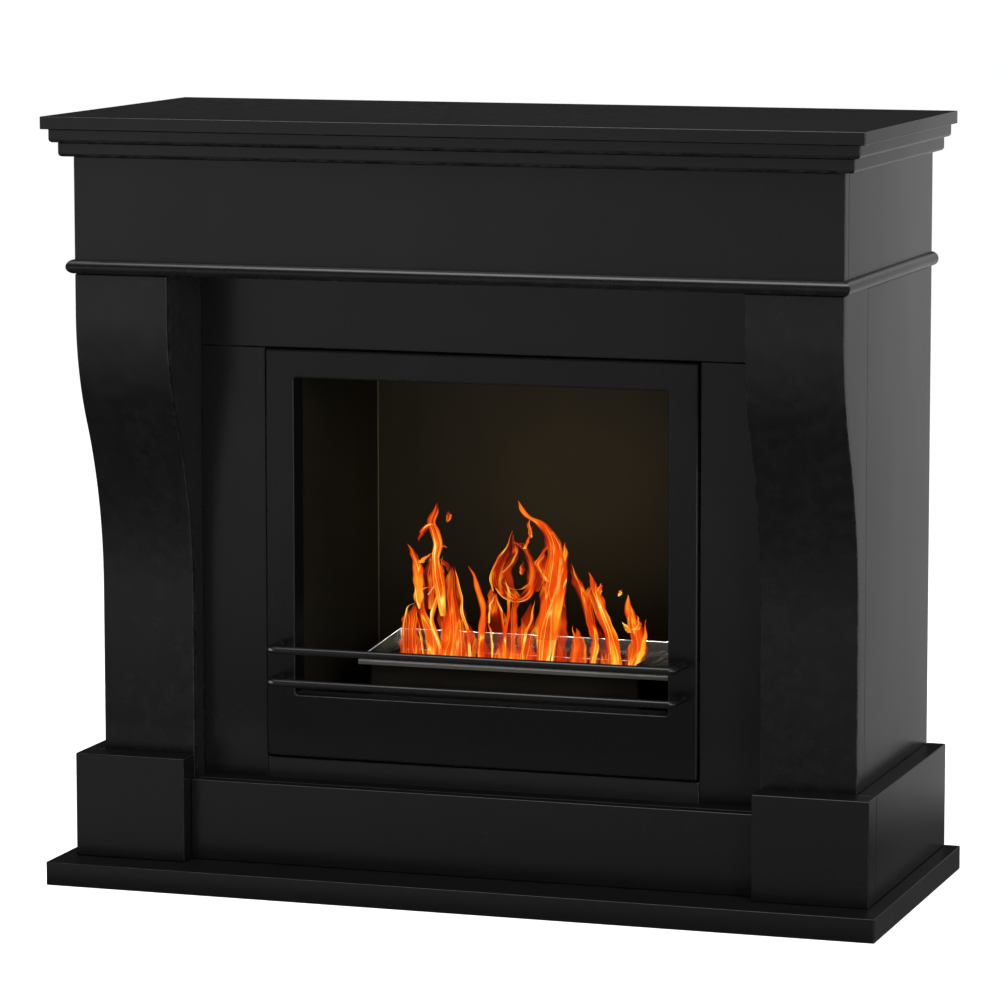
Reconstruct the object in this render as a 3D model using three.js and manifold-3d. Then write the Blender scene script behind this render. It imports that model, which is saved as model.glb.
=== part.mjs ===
// Bioethanol fireplace: a painted surround with S-shaped pilasters, around a black steel
// insert whose stainless burner lifts out. Millimetres, +Z up. The front faces -Y, and the
// origin is in the middle of the underside.

import * as THREE from 'three';
import { mergeVertices } from 'three/addons/utils/BufferGeometryUtils.js';
import Module from 'manifold-3d';

const wasm = await Module();
wasm.setup();

// Boards and joints
const boardThickness = 18;
const edgeEase = 1;             // chamfer on the arrises of visible boards
const jointGap = 0.3;           // clearance between pieces that touch

// Surround, measured over the frieze
const surroundWidth = 1000;
const surroundDepth = 450;

// Base slab
const baseOverhang = 46;        // past each side of the surround
const baseDepth = 460;
const baseThickness = 30;
const baseEdgeRadius = 2;

// Plinth
const plinthHeight = 134;
const plinthSideThickness = 25;
const plinthBlockThickness = 38;
const centrePlinthHeight = 104;
const centrePlinthSetback = 25; // behind the front of the blocks

// Pilasters
const pilasterWidth = 124;
const pilasterSetback = 80;     // from the top front to the foot front
const upperCurveRadius = 330;
const lowerCurveRadius = 510;
const straightTopLength = 51.5; // of the pilaster's front, under the frieze
const pilasterFaceThickness = 8;
const curveSteps = 12;

// Recessed front between the pilasters
const recessDepth = 115;
const bottomRailTopHeight = 160;
const insertBottomGap = 3.5;
const insertTopGap = 1.5;
const insertSideGap = 1.8;
const headerHeight = 97;

// Frieze, bead and cornice
const friezeHeight = 148;
const beadHeight = 18;
const beadSteps = 10;
const mitreGap = 0.2;
const corniceLowerThickness = 18;
const corniceLowerOverhang = 15;
const corniceUpperThickness = 17;
const corniceUpperOverhang = 24;
const corniceRadius = 7;
const topSlabThickness = 16;
const topSlabOverhang = 32;
const topSlabEase = 1.5;
const roundSteps = 5;

// Inside and back of the surround
const backRailHeight = 80;
const cleatHeight = 32;

// Steel insert
const sheet = 2;
const openingWidth = 496;
const openingHeight = 408;
const openingLipDepth = 32;
const fasciaSideWidth = 38.5;   // on each side of the opening
const fasciaTopWidth = 36.5;
const lowerPanelHeight = 80;
const fasciaProud = 5.5;        // in front of the recessed boards
const fasciaLipDepth = 20;
const fireboxDepth = 318;       // from the back of the fascia to the back wall
const fireboxHeadroom = 16;     // from the opening's top to the ceiling
const floorDrop = 28.5;         // from the opening's lower edge to the firebox floor

// Fender rails
const railDiameter = 10;
const railStandoff = 44;        // from the fascia to the rail's centre line
const railHoleOffset = 20;      // from the opening's edge to the centre of the rail's hole
const railBendRadius = 10;
const lowerRailRise = 22.5;     // from the opening's lower edge to the lower rail
const railSpacing = 42;
const railSides = 12;
const railBendSteps = 6;
const railClearance = 0.3;
const nutAcrossFlats = 16;
const nutThickness = 8;
const nutSides = 6;
const railTail = 3;             // what stands out behind the nut

// Burner
const burnerSheet = 1.5;
const slotSize = { width: 328, depth: 54 };
const slotSetback = 46;         // behind the tray's front edge
const slotCollarHeight = 6;
const trayFrontSetback = 88;    // behind the front of the fascia
const traySideMargin = 11.5;    // outside the regulator's guides
const trayRearMargin = 4;       // behind the open lid
const trayLipHeight = 6;
const trayEndGap = 17;          // from the tray's long right end to the firebox
const trayBackHeight = 16;
const tankInset = { side: 12, end: 8 };
const tankHeight = 61;
const padHeight = 44;
const padClearance = 2;
const padEase = 4;
const lidOverlap = { side: 7, end: 2 };
const lidSlotMargin = 2;        // between the open lid and the slot
const lidLipHeight = 5;
const lidHoleDiameter = 8;
const lidHoleSetback = 14;
const guideWidth = 12;
const guideHeight = 4.5;
const guideOverlap = 4;
const locatorSize = { leg: 15, length: 100 };
const burnerClearance = 0.5;

// Positions worked out from the sizes above
const halfWidth = surroundWidth / 2;
const wallY = (surroundDepth + topSlabOverhang) / 2;
const frontY = wallY - surroundDepth;
const recessY = frontY + recessDepth;
const recessBackY = recessY + boardThickness;
const footY = frontY + pilasterSetback;
const pilasterInnerX = halfWidth - pilasterWidth;
const plinthFrontY = footY - plinthBlockThickness;
const carcassHalfWidth = halfWidth - boardThickness;

const openingHalfWidth = openingWidth / 2;
const fasciaHalfWidth = openingHalfWidth + fasciaSideWidth;
const railHalfLength = openingHalfWidth + railHoleOffset;
const fasciaBottomZ = bottomRailTopHeight + insertBottomGap;
const openingBottomZ = fasciaBottomZ + lowerPanelHeight;
const openingTopZ = openingBottomZ + openingHeight;
const fasciaTopZ = openingTopZ + fasciaTopWidth;
const lowerRailHeight = openingBottomZ + lowerRailRise;
const upperRailHeight = lowerRailHeight + railSpacing;
const headerBottomZ = fasciaTopZ + insertTopGap;
const friezeBottomZ = headerBottomZ + headerHeight + jointGap;
const pilasterTopZ = friezeBottomZ - jointGap;
const curveTopZ = pilasterTopZ - straightTopLength;
const friezeTopZ = friezeBottomZ + friezeHeight;
const stileInnerX = fasciaHalfWidth + insertSideGap;

const fasciaFrontY = recessY - fasciaProud;
const fasciaBackY = fasciaFrontY + sheet;
const fireboxHalfWidth = openingHalfWidth + sheet + jointGap;
const fireboxBackY = fasciaBackY + fireboxDepth;
const fireboxFloorZ = openingBottomZ - floorDrop;
const fireboxCeilingZ = openingTopZ + fireboxHeadroom;
const shelfTopZ = fireboxFloorZ - sheet - jointGap;

const trayFrontY = fasciaFrontY + trayFrontSetback;
const slotFrontY = trayFrontY + slotSetback;
const slotBackY = slotFrontY + slotSize.depth;
const lidFrontY = slotBackY + lidSlotMargin;
const lidBackY = lidFrontY + slotSize.depth + 2 * lidOverlap.end;
const trayBackY = lidBackY + trayRearMargin;
const lidHalfWidth = slotSize.width / 2 + lidOverlap.side;
const guideInnerX = lidHalfWidth + burnerClearance;
const trayHalfWidth = guideInnerX + guideWidth + traySideMargin;
const trayX = [-trayHalfWidth, fireboxHalfWidth - trayEndGap];
const tankHalfWidth = trayHalfWidth - tankInset.side;
const tankY = [trayFrontY + tankInset.end, trayBackY - tankInset.end];
const tankTopZ = fireboxFloorZ + jointGap + tankHeight;
const trayTopZ = tankTopZ + jointGap + burnerSheet;

const paint = { color: 0x17181a, roughness: 0.42, metalness: 0 };
const bareBoard = { color: 0x8a6f4e, roughness: 0.85, metalness: 0 };
const blackSteel = { color: 0x161616, roughness: 0.5, metalness: 0.3 };
const railSteel = { color: 0x1c1c1c, roughness: 0.35, metalness: 0.5 };
const stainless = { color: 0xb8b8b2, roughness: 0.32, metalness: 1 };
const zincSteel = { color: 0x9c9c98, roughness: 0.4, metalness: 1 };
const mineralWool = { color: 0xd6cfc0, roughness: 0.95, metalness: 0 };

const fireplace = new THREE.Group();

function addPiece(name, geometry, finish) {
  const mesh = new THREE.Mesh(geometry, new THREE.MeshStandardMaterial(finish));
  mesh.name = name;
  fireplace.add(mesh);
  return mesh;
}

// Extrusions: a shape drawn in the plane square to the axis it is pushed along.
function alongX(shape, from, to) {
  const geometry = new THREE.ExtrudeGeometry(shape, { depth: to - from, bevelEnabled: false });
  const basis = new THREE.Matrix4();
  basis.makeBasis(
    new THREE.Vector3(0, 1, 0),
    new THREE.Vector3(0, 0, 1),
    new THREE.Vector3(1, 0, 0),
  );
  return geometry.applyMatrix4(basis).translate(from, 0, 0);
}

function alongY(shape, from, to) {
  const geometry = new THREE.ExtrudeGeometry(shape, { depth: to - from, bevelEnabled: false });
  return geometry.rotateX(Math.PI / 2).translate(0, to, 0);
}

function alongZ(shape, from, to) {
  const geometry = new THREE.ExtrudeGeometry(shape, { depth: to - from, bevelEnabled: false });
  return geometry.translate(0, 0, from);
}

function polygon(points) {
  return new THREE.Shape(points.map(([across, up]) => new THREE.Vector2(across, up)));
}

function rectangle([left, right], [low, high], ease = 0) {
  if (ease === 0) {
    return polygon([[left, low], [right, low], [right, high], [left, high]]);
  }
  return polygon([
    [left + ease, low], [right - ease, low], [right, low + ease], [right, high - ease],
    [right - ease, high], [left + ease, high], [left, high - ease], [left, low + ease],
  ]);
}

function grow([low, high], by) {
  return [low - by, high + by];
}

function frameShape(outerX, outerZ, innerX, innerZ) {
  const shape = rectangle(outerX, outerZ);
  shape.holes.push(rectangle(innerX, innerZ));
  return shape;
}

// A board with eased arrises, extruded along its longest side.
function board(name, x, y, z, finish = paint, ease = edgeEase) {
  const length = { x: x[1] - x[0], y: y[1] - y[0], z: z[1] - z[0] };
  const longest = Math.max(length.x, length.y, length.z);
  let geometry;
  if (length.x === longest) {
    geometry = alongX(rectangle(y, z, ease), x[0], x[1]);
  } else if (length.z === longest) {
    geometry = alongZ(rectangle(x, y, ease), z[0], z[1]);
  } else {
    geometry = alongY(rectangle(x, z, ease), y[0], y[1]);
  }
  return addPiece(name, geometry, finish);
}

// Joining and cutting of closed solids.
function toSolid(geometry) {
  const bare = geometry.clone();
  bare.deleteAttribute('normal');
  bare.deleteAttribute('uv');
  const merged = mergeVertices(bare);
  return new wasm.Manifold(new wasm.Mesh({
    numProp: 3,
    vertProperties: new Float32Array(merged.attributes.position.array),
    triVerts: new Uint32Array(merged.index.array),
  }));
}

function toGeometry(solid) {
  const mesh = solid.getMesh();
  const geometry = new THREE.BufferGeometry();
  geometry.setAttribute('position', new THREE.BufferAttribute(mesh.vertProperties, 3));
  geometry.setIndex(new THREE.BufferAttribute(mesh.triVerts, 1));
  const flat = geometry.toNonIndexed();
  flat.computeVertexNormals();
  return flat;
}

function join(geometries, cutters = []) {
  let solid = toSolid(geometries[0]);
  for (const geometry of geometries.slice(1)) {
    solid = solid.add(toSolid(geometry));
  }
  for (const cutter of cutters) {
    solid = solid.subtract(toSolid(cutter));
  }
  return toGeometry(solid);
}

function rodAlongY(radius, x, z, from, to) {
  const geometry = new THREE.CylinderGeometry(radius, radius, to - from, 2 * railSides);
  return geometry.translate(0, (from + to) / 2, 0).translate(x, 0, z);
}

// A board whose front and side edges are moulded: its rectangular outline is drawn in by the
// inset of each profile point, and the back edge stays flat against the wall.
function mouldedBoard(name, overhangX, faceY, profile) {
  const positions = [];
  for (const [inset, z] of profile) {
    const x = halfWidth + overhangX - inset;
    positions.push(-x, faceY + inset, z, x, faceY + inset, z, x, wallY, z, -x, wallY, z);
  }
  const last = (profile.length - 1) * 4;
  const index = [0, 2, 1, 0, 3, 2, last, last + 1, last + 2, last, last + 2, last + 3];
  for (let ring = 0; ring < last; ring += 4) {
    for (let side = 0; side < 4; side += 1) {
      const here = ring + side;
      const next = ring + ((side + 1) % 4);
      index.push(here, next, next + 4, here, next + 4, here + 4);
    }
  }
  const geometry = new THREE.BufferGeometry();
  geometry.setAttribute('position', new THREE.Float32BufferAttribute(positions, 3));
  geometry.setIndex(index);
  const flat = geometry.toNonIndexed();
  flat.computeVertexNormals();
  return addPiece(name, flat, paint);
}

function easedEdge(bottomZ, topZ, ease) {
  return [[ease, bottomZ], [0, bottomZ + ease], [0, topZ - ease], [ease, topZ]];
}

function roundedLowerEdge(bottomZ, topZ, radius) {
  const profile = [];
  for (let step = 0; step <= roundSteps; step += 1) {
    const turn = (step / roundSteps) * Math.PI / 2;
    profile.push([radius * (1 - Math.sin(turn)), bottomZ + radius * (1 - Math.cos(turn))]);
  }
  profile.push([0, topZ - edgeEase], [edgeEase, topZ]);
  return profile;
}

function roundedEdge(bottomZ, topZ, radius) {
  const lower = roundedLowerEdge(bottomZ, topZ, radius).slice(0, roundSteps + 1);
  const upper = lower.map(([inset, z]) => [inset, topZ + bottomZ - z]).reverse();
  return [...lower, ...upper];
}

// Pilaster front in the YZ plane: a bulging arc above and a hollow arc below, tangent where
// they meet. The offset line lies the given distance behind the front, so both arcs keep
// their centres.
function pilasterLine(offset, bottomZ, topZ) {
  const radiusSum = upperCurveRadius + lowerCurveRadius;
  const turn = Math.acos(1 - pilasterSetback / radiusSum);
  const curveBottomZ = curveTopZ - radiusSum * Math.sin(turn);
  const upperRadius = upperCurveRadius - offset;
  const lowerRadius = lowerCurveRadius + offset;
  const line = [[frontY + offset, topZ]];
  for (let step = 0; step <= curveSteps; step += 1) {
    const angle = turn * step / curveSteps;
    line.push([
      frontY + upperCurveRadius - upperRadius * Math.cos(angle),
      curveTopZ - upperRadius * Math.sin(angle),
    ]);
  }
  for (let step = 1; step <= curveSteps; step += 1) {
    const angle = turn * (1 - step / curveSteps);
    line.push([
      footY - lowerCurveRadius + lowerRadius * Math.cos(angle),
      curveBottomZ + lowerRadius * Math.sin(angle),
    ]);
  }
  line.push([footY + offset, bottomZ]);
  return line;
}

function pilaster(side, sign) {
  const bottomZ = baseThickness + jointGap;
  const topZ = pilasterTopZ;
  const front = pilasterLine(0, bottomZ, topZ);
  const faceBack = pilasterLine(pilasterFaceThickness, bottomZ, topZ);
  const cheekFront = pilasterLine(pilasterFaceThickness + jointGap, bottomZ, topZ);
  const span = (nearX, farX) => (sign > 0 ? [nearX, farX] : [-farX, -nearX]);

  const faceShape = polygon([...front, ...[...faceBack].reverse()]);
  const faceSpan = span(pilasterInnerX, halfWidth);
  addPiece(`pilaster_face_${side}`, alongX(faceShape, ...faceSpan), paint);

  const cheek = (place, backY, nearX) => {
    const shape = polygon([...cheekFront, [backY, bottomZ], [backY, topZ]]);
    const cheekSpan = span(nearX, nearX + boardThickness);
    addPiece(`pilaster_cheek_${place}_${side}`, alongX(shape, ...cheekSpan), paint);
  };
  cheek('outer', recessY, carcassHalfWidth);
  cheek('inner', recessBackY, pilasterInnerX);

  const ribX = span(
    pilasterInnerX + boardThickness + jointGap,
    carcassHalfWidth - jointGap,
  );
  const ribInset = pilasterFaceThickness + 2 * jointGap;
  const topRibZ = [topZ - boardThickness, topZ];
  const bottomRibZ = [bottomZ, bottomZ + boardThickness];
  board(`pilaster_rib_top_${side}`, ribX, [frontY + ribInset, recessY], topRibZ, bareBoard, 0);
  board(`pilaster_rib_bottom_${side}`, ribX, [footY + ribInset, recessY], bottomRibZ, bareBoard, 0);
}

function plinthBlock(side, sign) {
  const outerX = halfWidth + plinthSideThickness;
  const z = [baseThickness + jointGap, baseThickness + plinthHeight];
  const span = (nearX, farX) => (sign > 0 ? [nearX, farX] : [-farX, -nearX]);
  board(`plinth_front_${side}`, span(pilasterInnerX, outerX), [plinthFrontY, footY - jointGap], z);
  board(`plinth_side_${side}`, span(halfWidth + jointGap, outerX), [footY, wallY], z);
}

function makePlinth() {
  const profile = roundedEdge(0, baseThickness, baseEdgeRadius);
  mouldedBoard('base_slab', baseOverhang, wallY - baseDepth, profile);
  plinthBlock('left', -1);
  plinthBlock('right', 1);

  const spanX = [-pilasterInnerX + jointGap, pilasterInnerX - jointGap];
  const faceY = plinthFrontY + centrePlinthSetback;
  const topZ = baseThickness + centrePlinthHeight;
  const ledgeY = [faceY + boardThickness + jointGap, recessY - jointGap];
  board('plinth_front_centre', spanX, [faceY, faceY + boardThickness], [baseThickness + jointGap, topZ]);
  board('plinth_ledge_centre', spanX, ledgeY, [topZ - boardThickness, topZ]);
}

function makeRecess() {
  const y = [recessY, recessBackY];
  const outerX = pilasterInnerX - jointGap;
  const bottomZ = baseThickness + jointGap;
  board('header_board', [-outerX, outerX], y, [headerBottomZ, headerBottomZ + headerHeight]);
  const stileZ = [bottomZ, headerBottomZ - jointGap];
  board('stile_left', [-outerX, -stileInnerX], y, stileZ);
  board('stile_right', [stileInnerX, outerX], y, stileZ);
  const railX = stileInnerX - jointGap;
  board('bottom_rail', [-railX, railX], y, [bottomZ, bottomRailTopHeight]);
}

function makeFrieze() {
  const z = [friezeBottomZ, friezeTopZ - jointGap];
  const behindFrontY = frontY + boardThickness + jointGap;
  board('frieze_front', [-halfWidth, halfWidth], [frontY, frontY + boardThickness], z);
  board('frieze_return_left', [-halfWidth, -carcassHalfWidth], [behindFrontY, wallY], z);
  board('frieze_return_right', [carcassHalfWidth, halfWidth], [behindFrontY, wallY], z);

  const insideX = carcassHalfWidth - jointGap;
  const soffitZ = [friezeBottomZ, friezeBottomZ + boardThickness];
  board('soffit_board', [-insideX, insideX], [behindFrontY, recessBackY], soffitZ);
  const topZ = [friezeTopZ - jointGap - boardThickness, friezeTopZ - jointGap];
  board('carcass_top', [-insideX, insideX], [behindFrontY, wallY], topZ, bareBoard, 0);
}

// Half-round bead: the flat back lies on the frieze, and each corner is a mitre, so the ends
// reach further out where the bead stands further out.
function beadShape(backAt, outward) {
  const radius = beadHeight / 2;
  const points = [];
  for (let step = 0; step <= beadSteps; step += 1) {
    const turn = Math.PI * (step / beadSteps - 0.5);
    const out = radius * Math.cos(turn);
    points.push([backAt + outward * out, friezeBottomZ + radius + radius * Math.sin(turn)]);
  }
  return polygon(points);
}

function makeBead() {
  const backY = frontY - jointGap;
  const backX = halfWidth + jointGap;
  const front = alongX(beadShape(backY, -1), -backX, backX);
  const frontPoints = front.attributes.position;
  for (let index = 0; index < frontPoints.count; index += 1) {
    const reach = backY - frontPoints.getY(index) - mitreGap;
    const x = frontPoints.getX(index);
    frontPoints.setX(index, x + Math.sign(x) * reach);
  }
  front.computeVertexNormals();
  addPiece('bead_front', front, paint);

  for (const [side, sign] of [['left', -1], ['right', 1]]) {
    const geometry = alongY(beadShape(sign * backX, sign), backY, wallY);
    const points = geometry.attributes.position;
    const middleY = (backY + wallY) / 2;
    for (let index = 0; index < points.count; index += 1) {
      const reach = Math.abs(points.getX(index)) - backX - mitreGap;
      if (points.getY(index) < middleY) {
        points.setY(index, points.getY(index) - reach);
      }
    }
    geometry.computeVertexNormals();
    addPiece(`bead_${side}`, geometry, paint);
  }
}

function makeCornice() {
  const lowerTopZ = friezeTopZ + corniceLowerThickness;
  const upperTopZ = lowerTopZ + corniceUpperThickness;
  const topZ = upperTopZ + topSlabThickness;
  const lower = roundedLowerEdge(friezeTopZ, lowerTopZ - jointGap, corniceRadius);
  mouldedBoard('cornice_lower', corniceLowerOverhang, frontY - corniceLowerOverhang, lower);
  const upper = roundedLowerEdge(lowerTopZ, upperTopZ - jointGap, corniceRadius);
  mouldedBoard('cornice_upper', corniceUpperOverhang, frontY - corniceUpperOverhang, upper);
  const slab = easedEdge(upperTopZ, topZ, topSlabEase);
  mouldedBoard('top_slab', topSlabOverhang, frontY - topSlabOverhang, slab);
}

function makeCarcass() {
  const sideY = [recessY + jointGap, wallY];
  const sideZ = [baseThickness + jointGap, friezeBottomZ - jointGap];
  board('side_panel_left', [-halfWidth, -carcassHalfWidth], sideY, sideZ);
  board('side_panel_right', [carcassHalfWidth, halfWidth], sideY, sideZ);

  const insideX = carcassHalfWidth - jointGap;
  const railY = [wallY - boardThickness, wallY];
  const topRailTopZ = friezeTopZ - boardThickness - 2 * jointGap;
  const bottomZ = baseThickness + jointGap;
  const topRailZ = [topRailTopZ - backRailHeight, topRailTopZ];
  board('back_rail_top', [-insideX, insideX], railY, topRailZ, bareBoard, 0);
  const bottomRailZ = [bottomZ, bottomZ + backRailHeight];
  board('back_rail_bottom', [-insideX, insideX], railY, bottomRailZ, bareBoard, 0);

  const shelfY = [recessBackY + jointGap, wallY];
  const shelfZ = [shelfTopZ - boardThickness, shelfTopZ];
  board('insert_shelf', [-insideX, insideX], shelfY, shelfZ, bareBoard, 0);
  const cleatZ = [shelfZ[0] - jointGap - cleatHeight, shelfZ[0] - jointGap];
  const cleatInnerX = insideX - boardThickness;
  board('shelf_cleat_left', [-insideX, -cleatInnerX], shelfY, cleatZ, bareBoard, 0);
  board('shelf_cleat_right', [cleatInnerX, insideX], shelfY, cleatZ, bareBoard, 0);
}

// Fender rail: a bar bent back at both ends, on a level path. Each stretch between two
// stations is one step of the sweep, so the straight runs stay free of needless rings.
class RailPath extends THREE.Curve {
  constructor(height, endY) {
    super();
    const barY = fasciaFrontY - railStandoff;
    const stations = [[-railHalfLength, endY]];
    const headings = [[0, -1]];
    const bend = (centreX, fromAngle) => {
      for (let step = 0; step <= railBendSteps; step += 1) {
        const angle = fromAngle + (step / railBendSteps) * Math.PI / 2;
        stations.push([
          centreX + railBendRadius * Math.cos(angle),
          barY + railBendRadius + railBendRadius * Math.sin(angle),
        ]);
        headings.push([-Math.sin(angle), Math.cos(angle)]);
      }
    };
    bend(-railHalfLength + railBendRadius, Math.PI);
    bend(railHalfLength - railBendRadius, 1.5 * Math.PI);
    stations.push([railHalfLength, endY]);
    headings.push([0, 1]);
    this.stations = stations.map(([x, y]) => new THREE.Vector3(x, y, height));
    this.headings = headings.map(([x, y]) => new THREE.Vector3(x, y, 0));
  }

  getUtoTmapping(u) {
    return u;
  }

  getPoint(t, target = new THREE.Vector3()) {
    const place = t * (this.stations.length - 1);
    const before = Math.min(Math.floor(place + 1e-6), this.stations.length - 2);
    return target.lerpVectors(this.stations[before], this.stations[before + 1], place - before);
  }

  getTangent(t, target = new THREE.Vector3()) {
    return target.copy(this.headings[Math.round(t * (this.headings.length - 1))]);
  }
}

function makeRail(name, height, endY) {
  const path = new RailPath(height, endY);
  const section = new THREE.Shape();
  section.absarc(0, 0, railDiameter / 2, 0, 2 * Math.PI);
  const geometry = new THREE.ExtrudeGeometry(section, {
    steps: path.stations.length - 1,
    curveSegments: railSides,
    extrudePath: path,
  });
  addPiece(name, geometry, railSteel);
}

function makeInsertFront() {
  const outerX = [-fasciaHalfWidth, fasciaHalfWidth];
  const outerZ = [fasciaBottomZ, fasciaTopZ];
  const openX = [-openingHalfWidth, openingHalfWidth];
  const openZ = [openingBottomZ, openingTopZ];

  const plate = alongY(frameShape(outerX, outerZ, openX, openZ), fasciaFrontY, fasciaBackY);
  const lipStartY = fasciaFrontY + sheet / 2;
  const outerLip = alongY(
    frameShape(outerX, outerZ, grow(outerX, -sheet), grow(outerZ, -sheet)),
    lipStartY,
    fasciaFrontY + fasciaLipDepth,
  );
  const openingLip = alongY(
    frameShape(grow(openX, sheet), grow(openZ, sheet), openX, openZ),
    lipStartY,
    fasciaFrontY + openingLipDepth,
  );
  const holeRadius = railDiameter / 2 + railClearance;
  const railPlaces = [];
  for (const height of [upperRailHeight, lowerRailHeight]) {
    railPlaces.push([-railHalfLength, height], [railHalfLength, height]);
  }
  const holes = railPlaces.map(([x, z]) => (
    rodAlongY(holeRadius, x, z, fasciaFrontY - sheet, fasciaBackY + sheet)
  ));
  const fascia = join([plate, outerLip, openingLip], holes);
  addPiece('insert_fascia', fascia, blackSteel);

  const nutY = fasciaBackY + jointGap;
  const nutNames = ['upper_left', 'upper_right', 'lower_left', 'lower_right'];
  railPlaces.forEach(([x, z], index) => {
    const cornerRadius = nutAcrossFlats / 2 / Math.cos(Math.PI / nutSides);
    const corners = [];
    for (let corner = 0; corner < nutSides; corner += 1) {
      const angle = corner * 2 * Math.PI / nutSides;
      corners.push([x + cornerRadius * Math.cos(angle), z + cornerRadius * Math.sin(angle)]);
    }
    const shape = polygon(corners);
    const bore = new THREE.Path();
    bore.absarc(x, z, holeRadius, 0, 2 * Math.PI);
    shape.holes.push(bore);
    addPiece(`rail_nut_${nutNames[index]}`, alongY(shape, nutY, nutY + nutThickness), zincSteel);
  });

  const tailY = nutY + nutThickness + railTail;
  makeRail('fender_rail_upper', upperRailHeight, tailY);
  makeRail('fender_rail_lower', lowerRailHeight, tailY);
}

// A folded open box: walls around a bottom.
function pan(x, y, z, thickness) {
  const ring = frameShape(x, y, grow(x, -thickness), grow(y, -thickness));
  const walls = alongZ(ring, z[0] + thickness / 2, z[1]);
  const bottom = alongZ(rectangle(x, y), z[0], z[0] + thickness);
  return join([walls, bottom]);
}

function makeFirebox() {
  const wallOuterX = fireboxHalfWidth + sheet;
  const frontEdgeY = fasciaBackY + jointGap;
  const wallZ = [fireboxFloorZ - sheet, fireboxCeilingZ + sheet];
  const sideY = [frontEdgeY, fireboxBackY - jointGap];
  board('firebox_left', [-wallOuterX, -fireboxHalfWidth], sideY, wallZ, blackSteel, 0);
  board('firebox_right', [fireboxHalfWidth, wallOuterX], sideY, wallZ, blackSteel, 0);
  const backY = [fireboxBackY, fireboxBackY + sheet];
  board('firebox_back', [-wallOuterX, wallOuterX], backY, wallZ, blackSteel, 0);
  const insideX = fireboxHalfWidth - jointGap;
  const topZ = [fireboxCeilingZ, fireboxCeilingZ + sheet];
  board('firebox_top', [-insideX, insideX], sideY, topZ, blackSteel, 0);
  const panZ = [fireboxFloorZ - sheet, openingBottomZ - sheet - jointGap];
  addPiece('firebox_floor', pan([-insideX, insideX], sideY, panZ, sheet), blackSteel);

  const legX = tankHalfWidth + burnerClearance;
  const locatorMiddleY = (tankY[0] + tankY[1]) / 2;
  const locatorY = [
    locatorMiddleY - locatorSize.length / 2,
    locatorMiddleY + locatorSize.length / 2,
  ];
  const footZ = fireboxFloorZ + jointGap;
  for (const [side, sign] of [['left', -1], ['right', 1]]) {
    const angle = polygon([
      [sign * legX, footZ],
      [sign * (legX + locatorSize.leg), footZ],
      [sign * (legX + locatorSize.leg), footZ + burnerSheet],
      [sign * (legX + burnerSheet), footZ + burnerSheet],
      [sign * (legX + burnerSheet), footZ + locatorSize.leg],
      [sign * legX, footZ + locatorSize.leg],
    ]);
    addPiece(`burner_locator_${side}`, alongY(angle, ...locatorY), blackSteel);
  }
}

// Burner tray: one sheet bent to a lip in front and a raised back, with a collared slot, and
// cheeks that rise from the front edge to the top of the back. It runs on past the tank on the
// right, behind the edge of the opening.
function makeTray() {
  const slotHalfX = slotSize.width / 2;
  const slotX = [-slotHalfX, slotHalfX];
  const slotY = [slotFrontY, slotBackY];
  const plateBottomZ = trayTopZ - burnerSheet;
  const lipBottomZ = trayTopZ - trayLipHeight;
  const backTopZ = trayTopZ + trayBackHeight;

  const bentSheet = polygon([
    [trayFrontY, lipBottomZ], [trayFrontY + burnerSheet, lipBottomZ],
    [trayFrontY + burnerSheet, plateBottomZ], [trayBackY, plateBottomZ],
    [trayBackY, backTopZ], [trayBackY - burnerSheet, backTopZ],
    [trayBackY - burnerSheet, trayTopZ], [trayFrontY, trayTopZ],
  ]);
  const cheekShape = polygon([
    [trayFrontY, lipBottomZ], [trayFrontY + burnerSheet, lipBottomZ],
    [trayFrontY + burnerSheet, plateBottomZ], [trayBackY, plateBottomZ],
    [trayBackY, backTopZ], [trayFrontY, trayTopZ + burnerSheet],
  ]);
  const collarZ = [trayTopZ - slotCollarHeight, trayTopZ - burnerSheet / 2];
  const pieces = [
    alongX(bentSheet, ...grow(trayX, -burnerSheet / 2)),
    alongX(cheekShape, trayX[0], trayX[0] + burnerSheet),
    alongX(cheekShape, trayX[1] - burnerSheet, trayX[1]),
    alongZ(rectangle(grow(slotX, burnerSheet), grow(slotY, burnerSheet)), ...collarZ),
  ];
  const slot = alongZ(rectangle(slotX, slotY), lipBottomZ - sheet, backTopZ);
  addPiece('burner_tray', join(pieces, [slot]), stainless);
}

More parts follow.
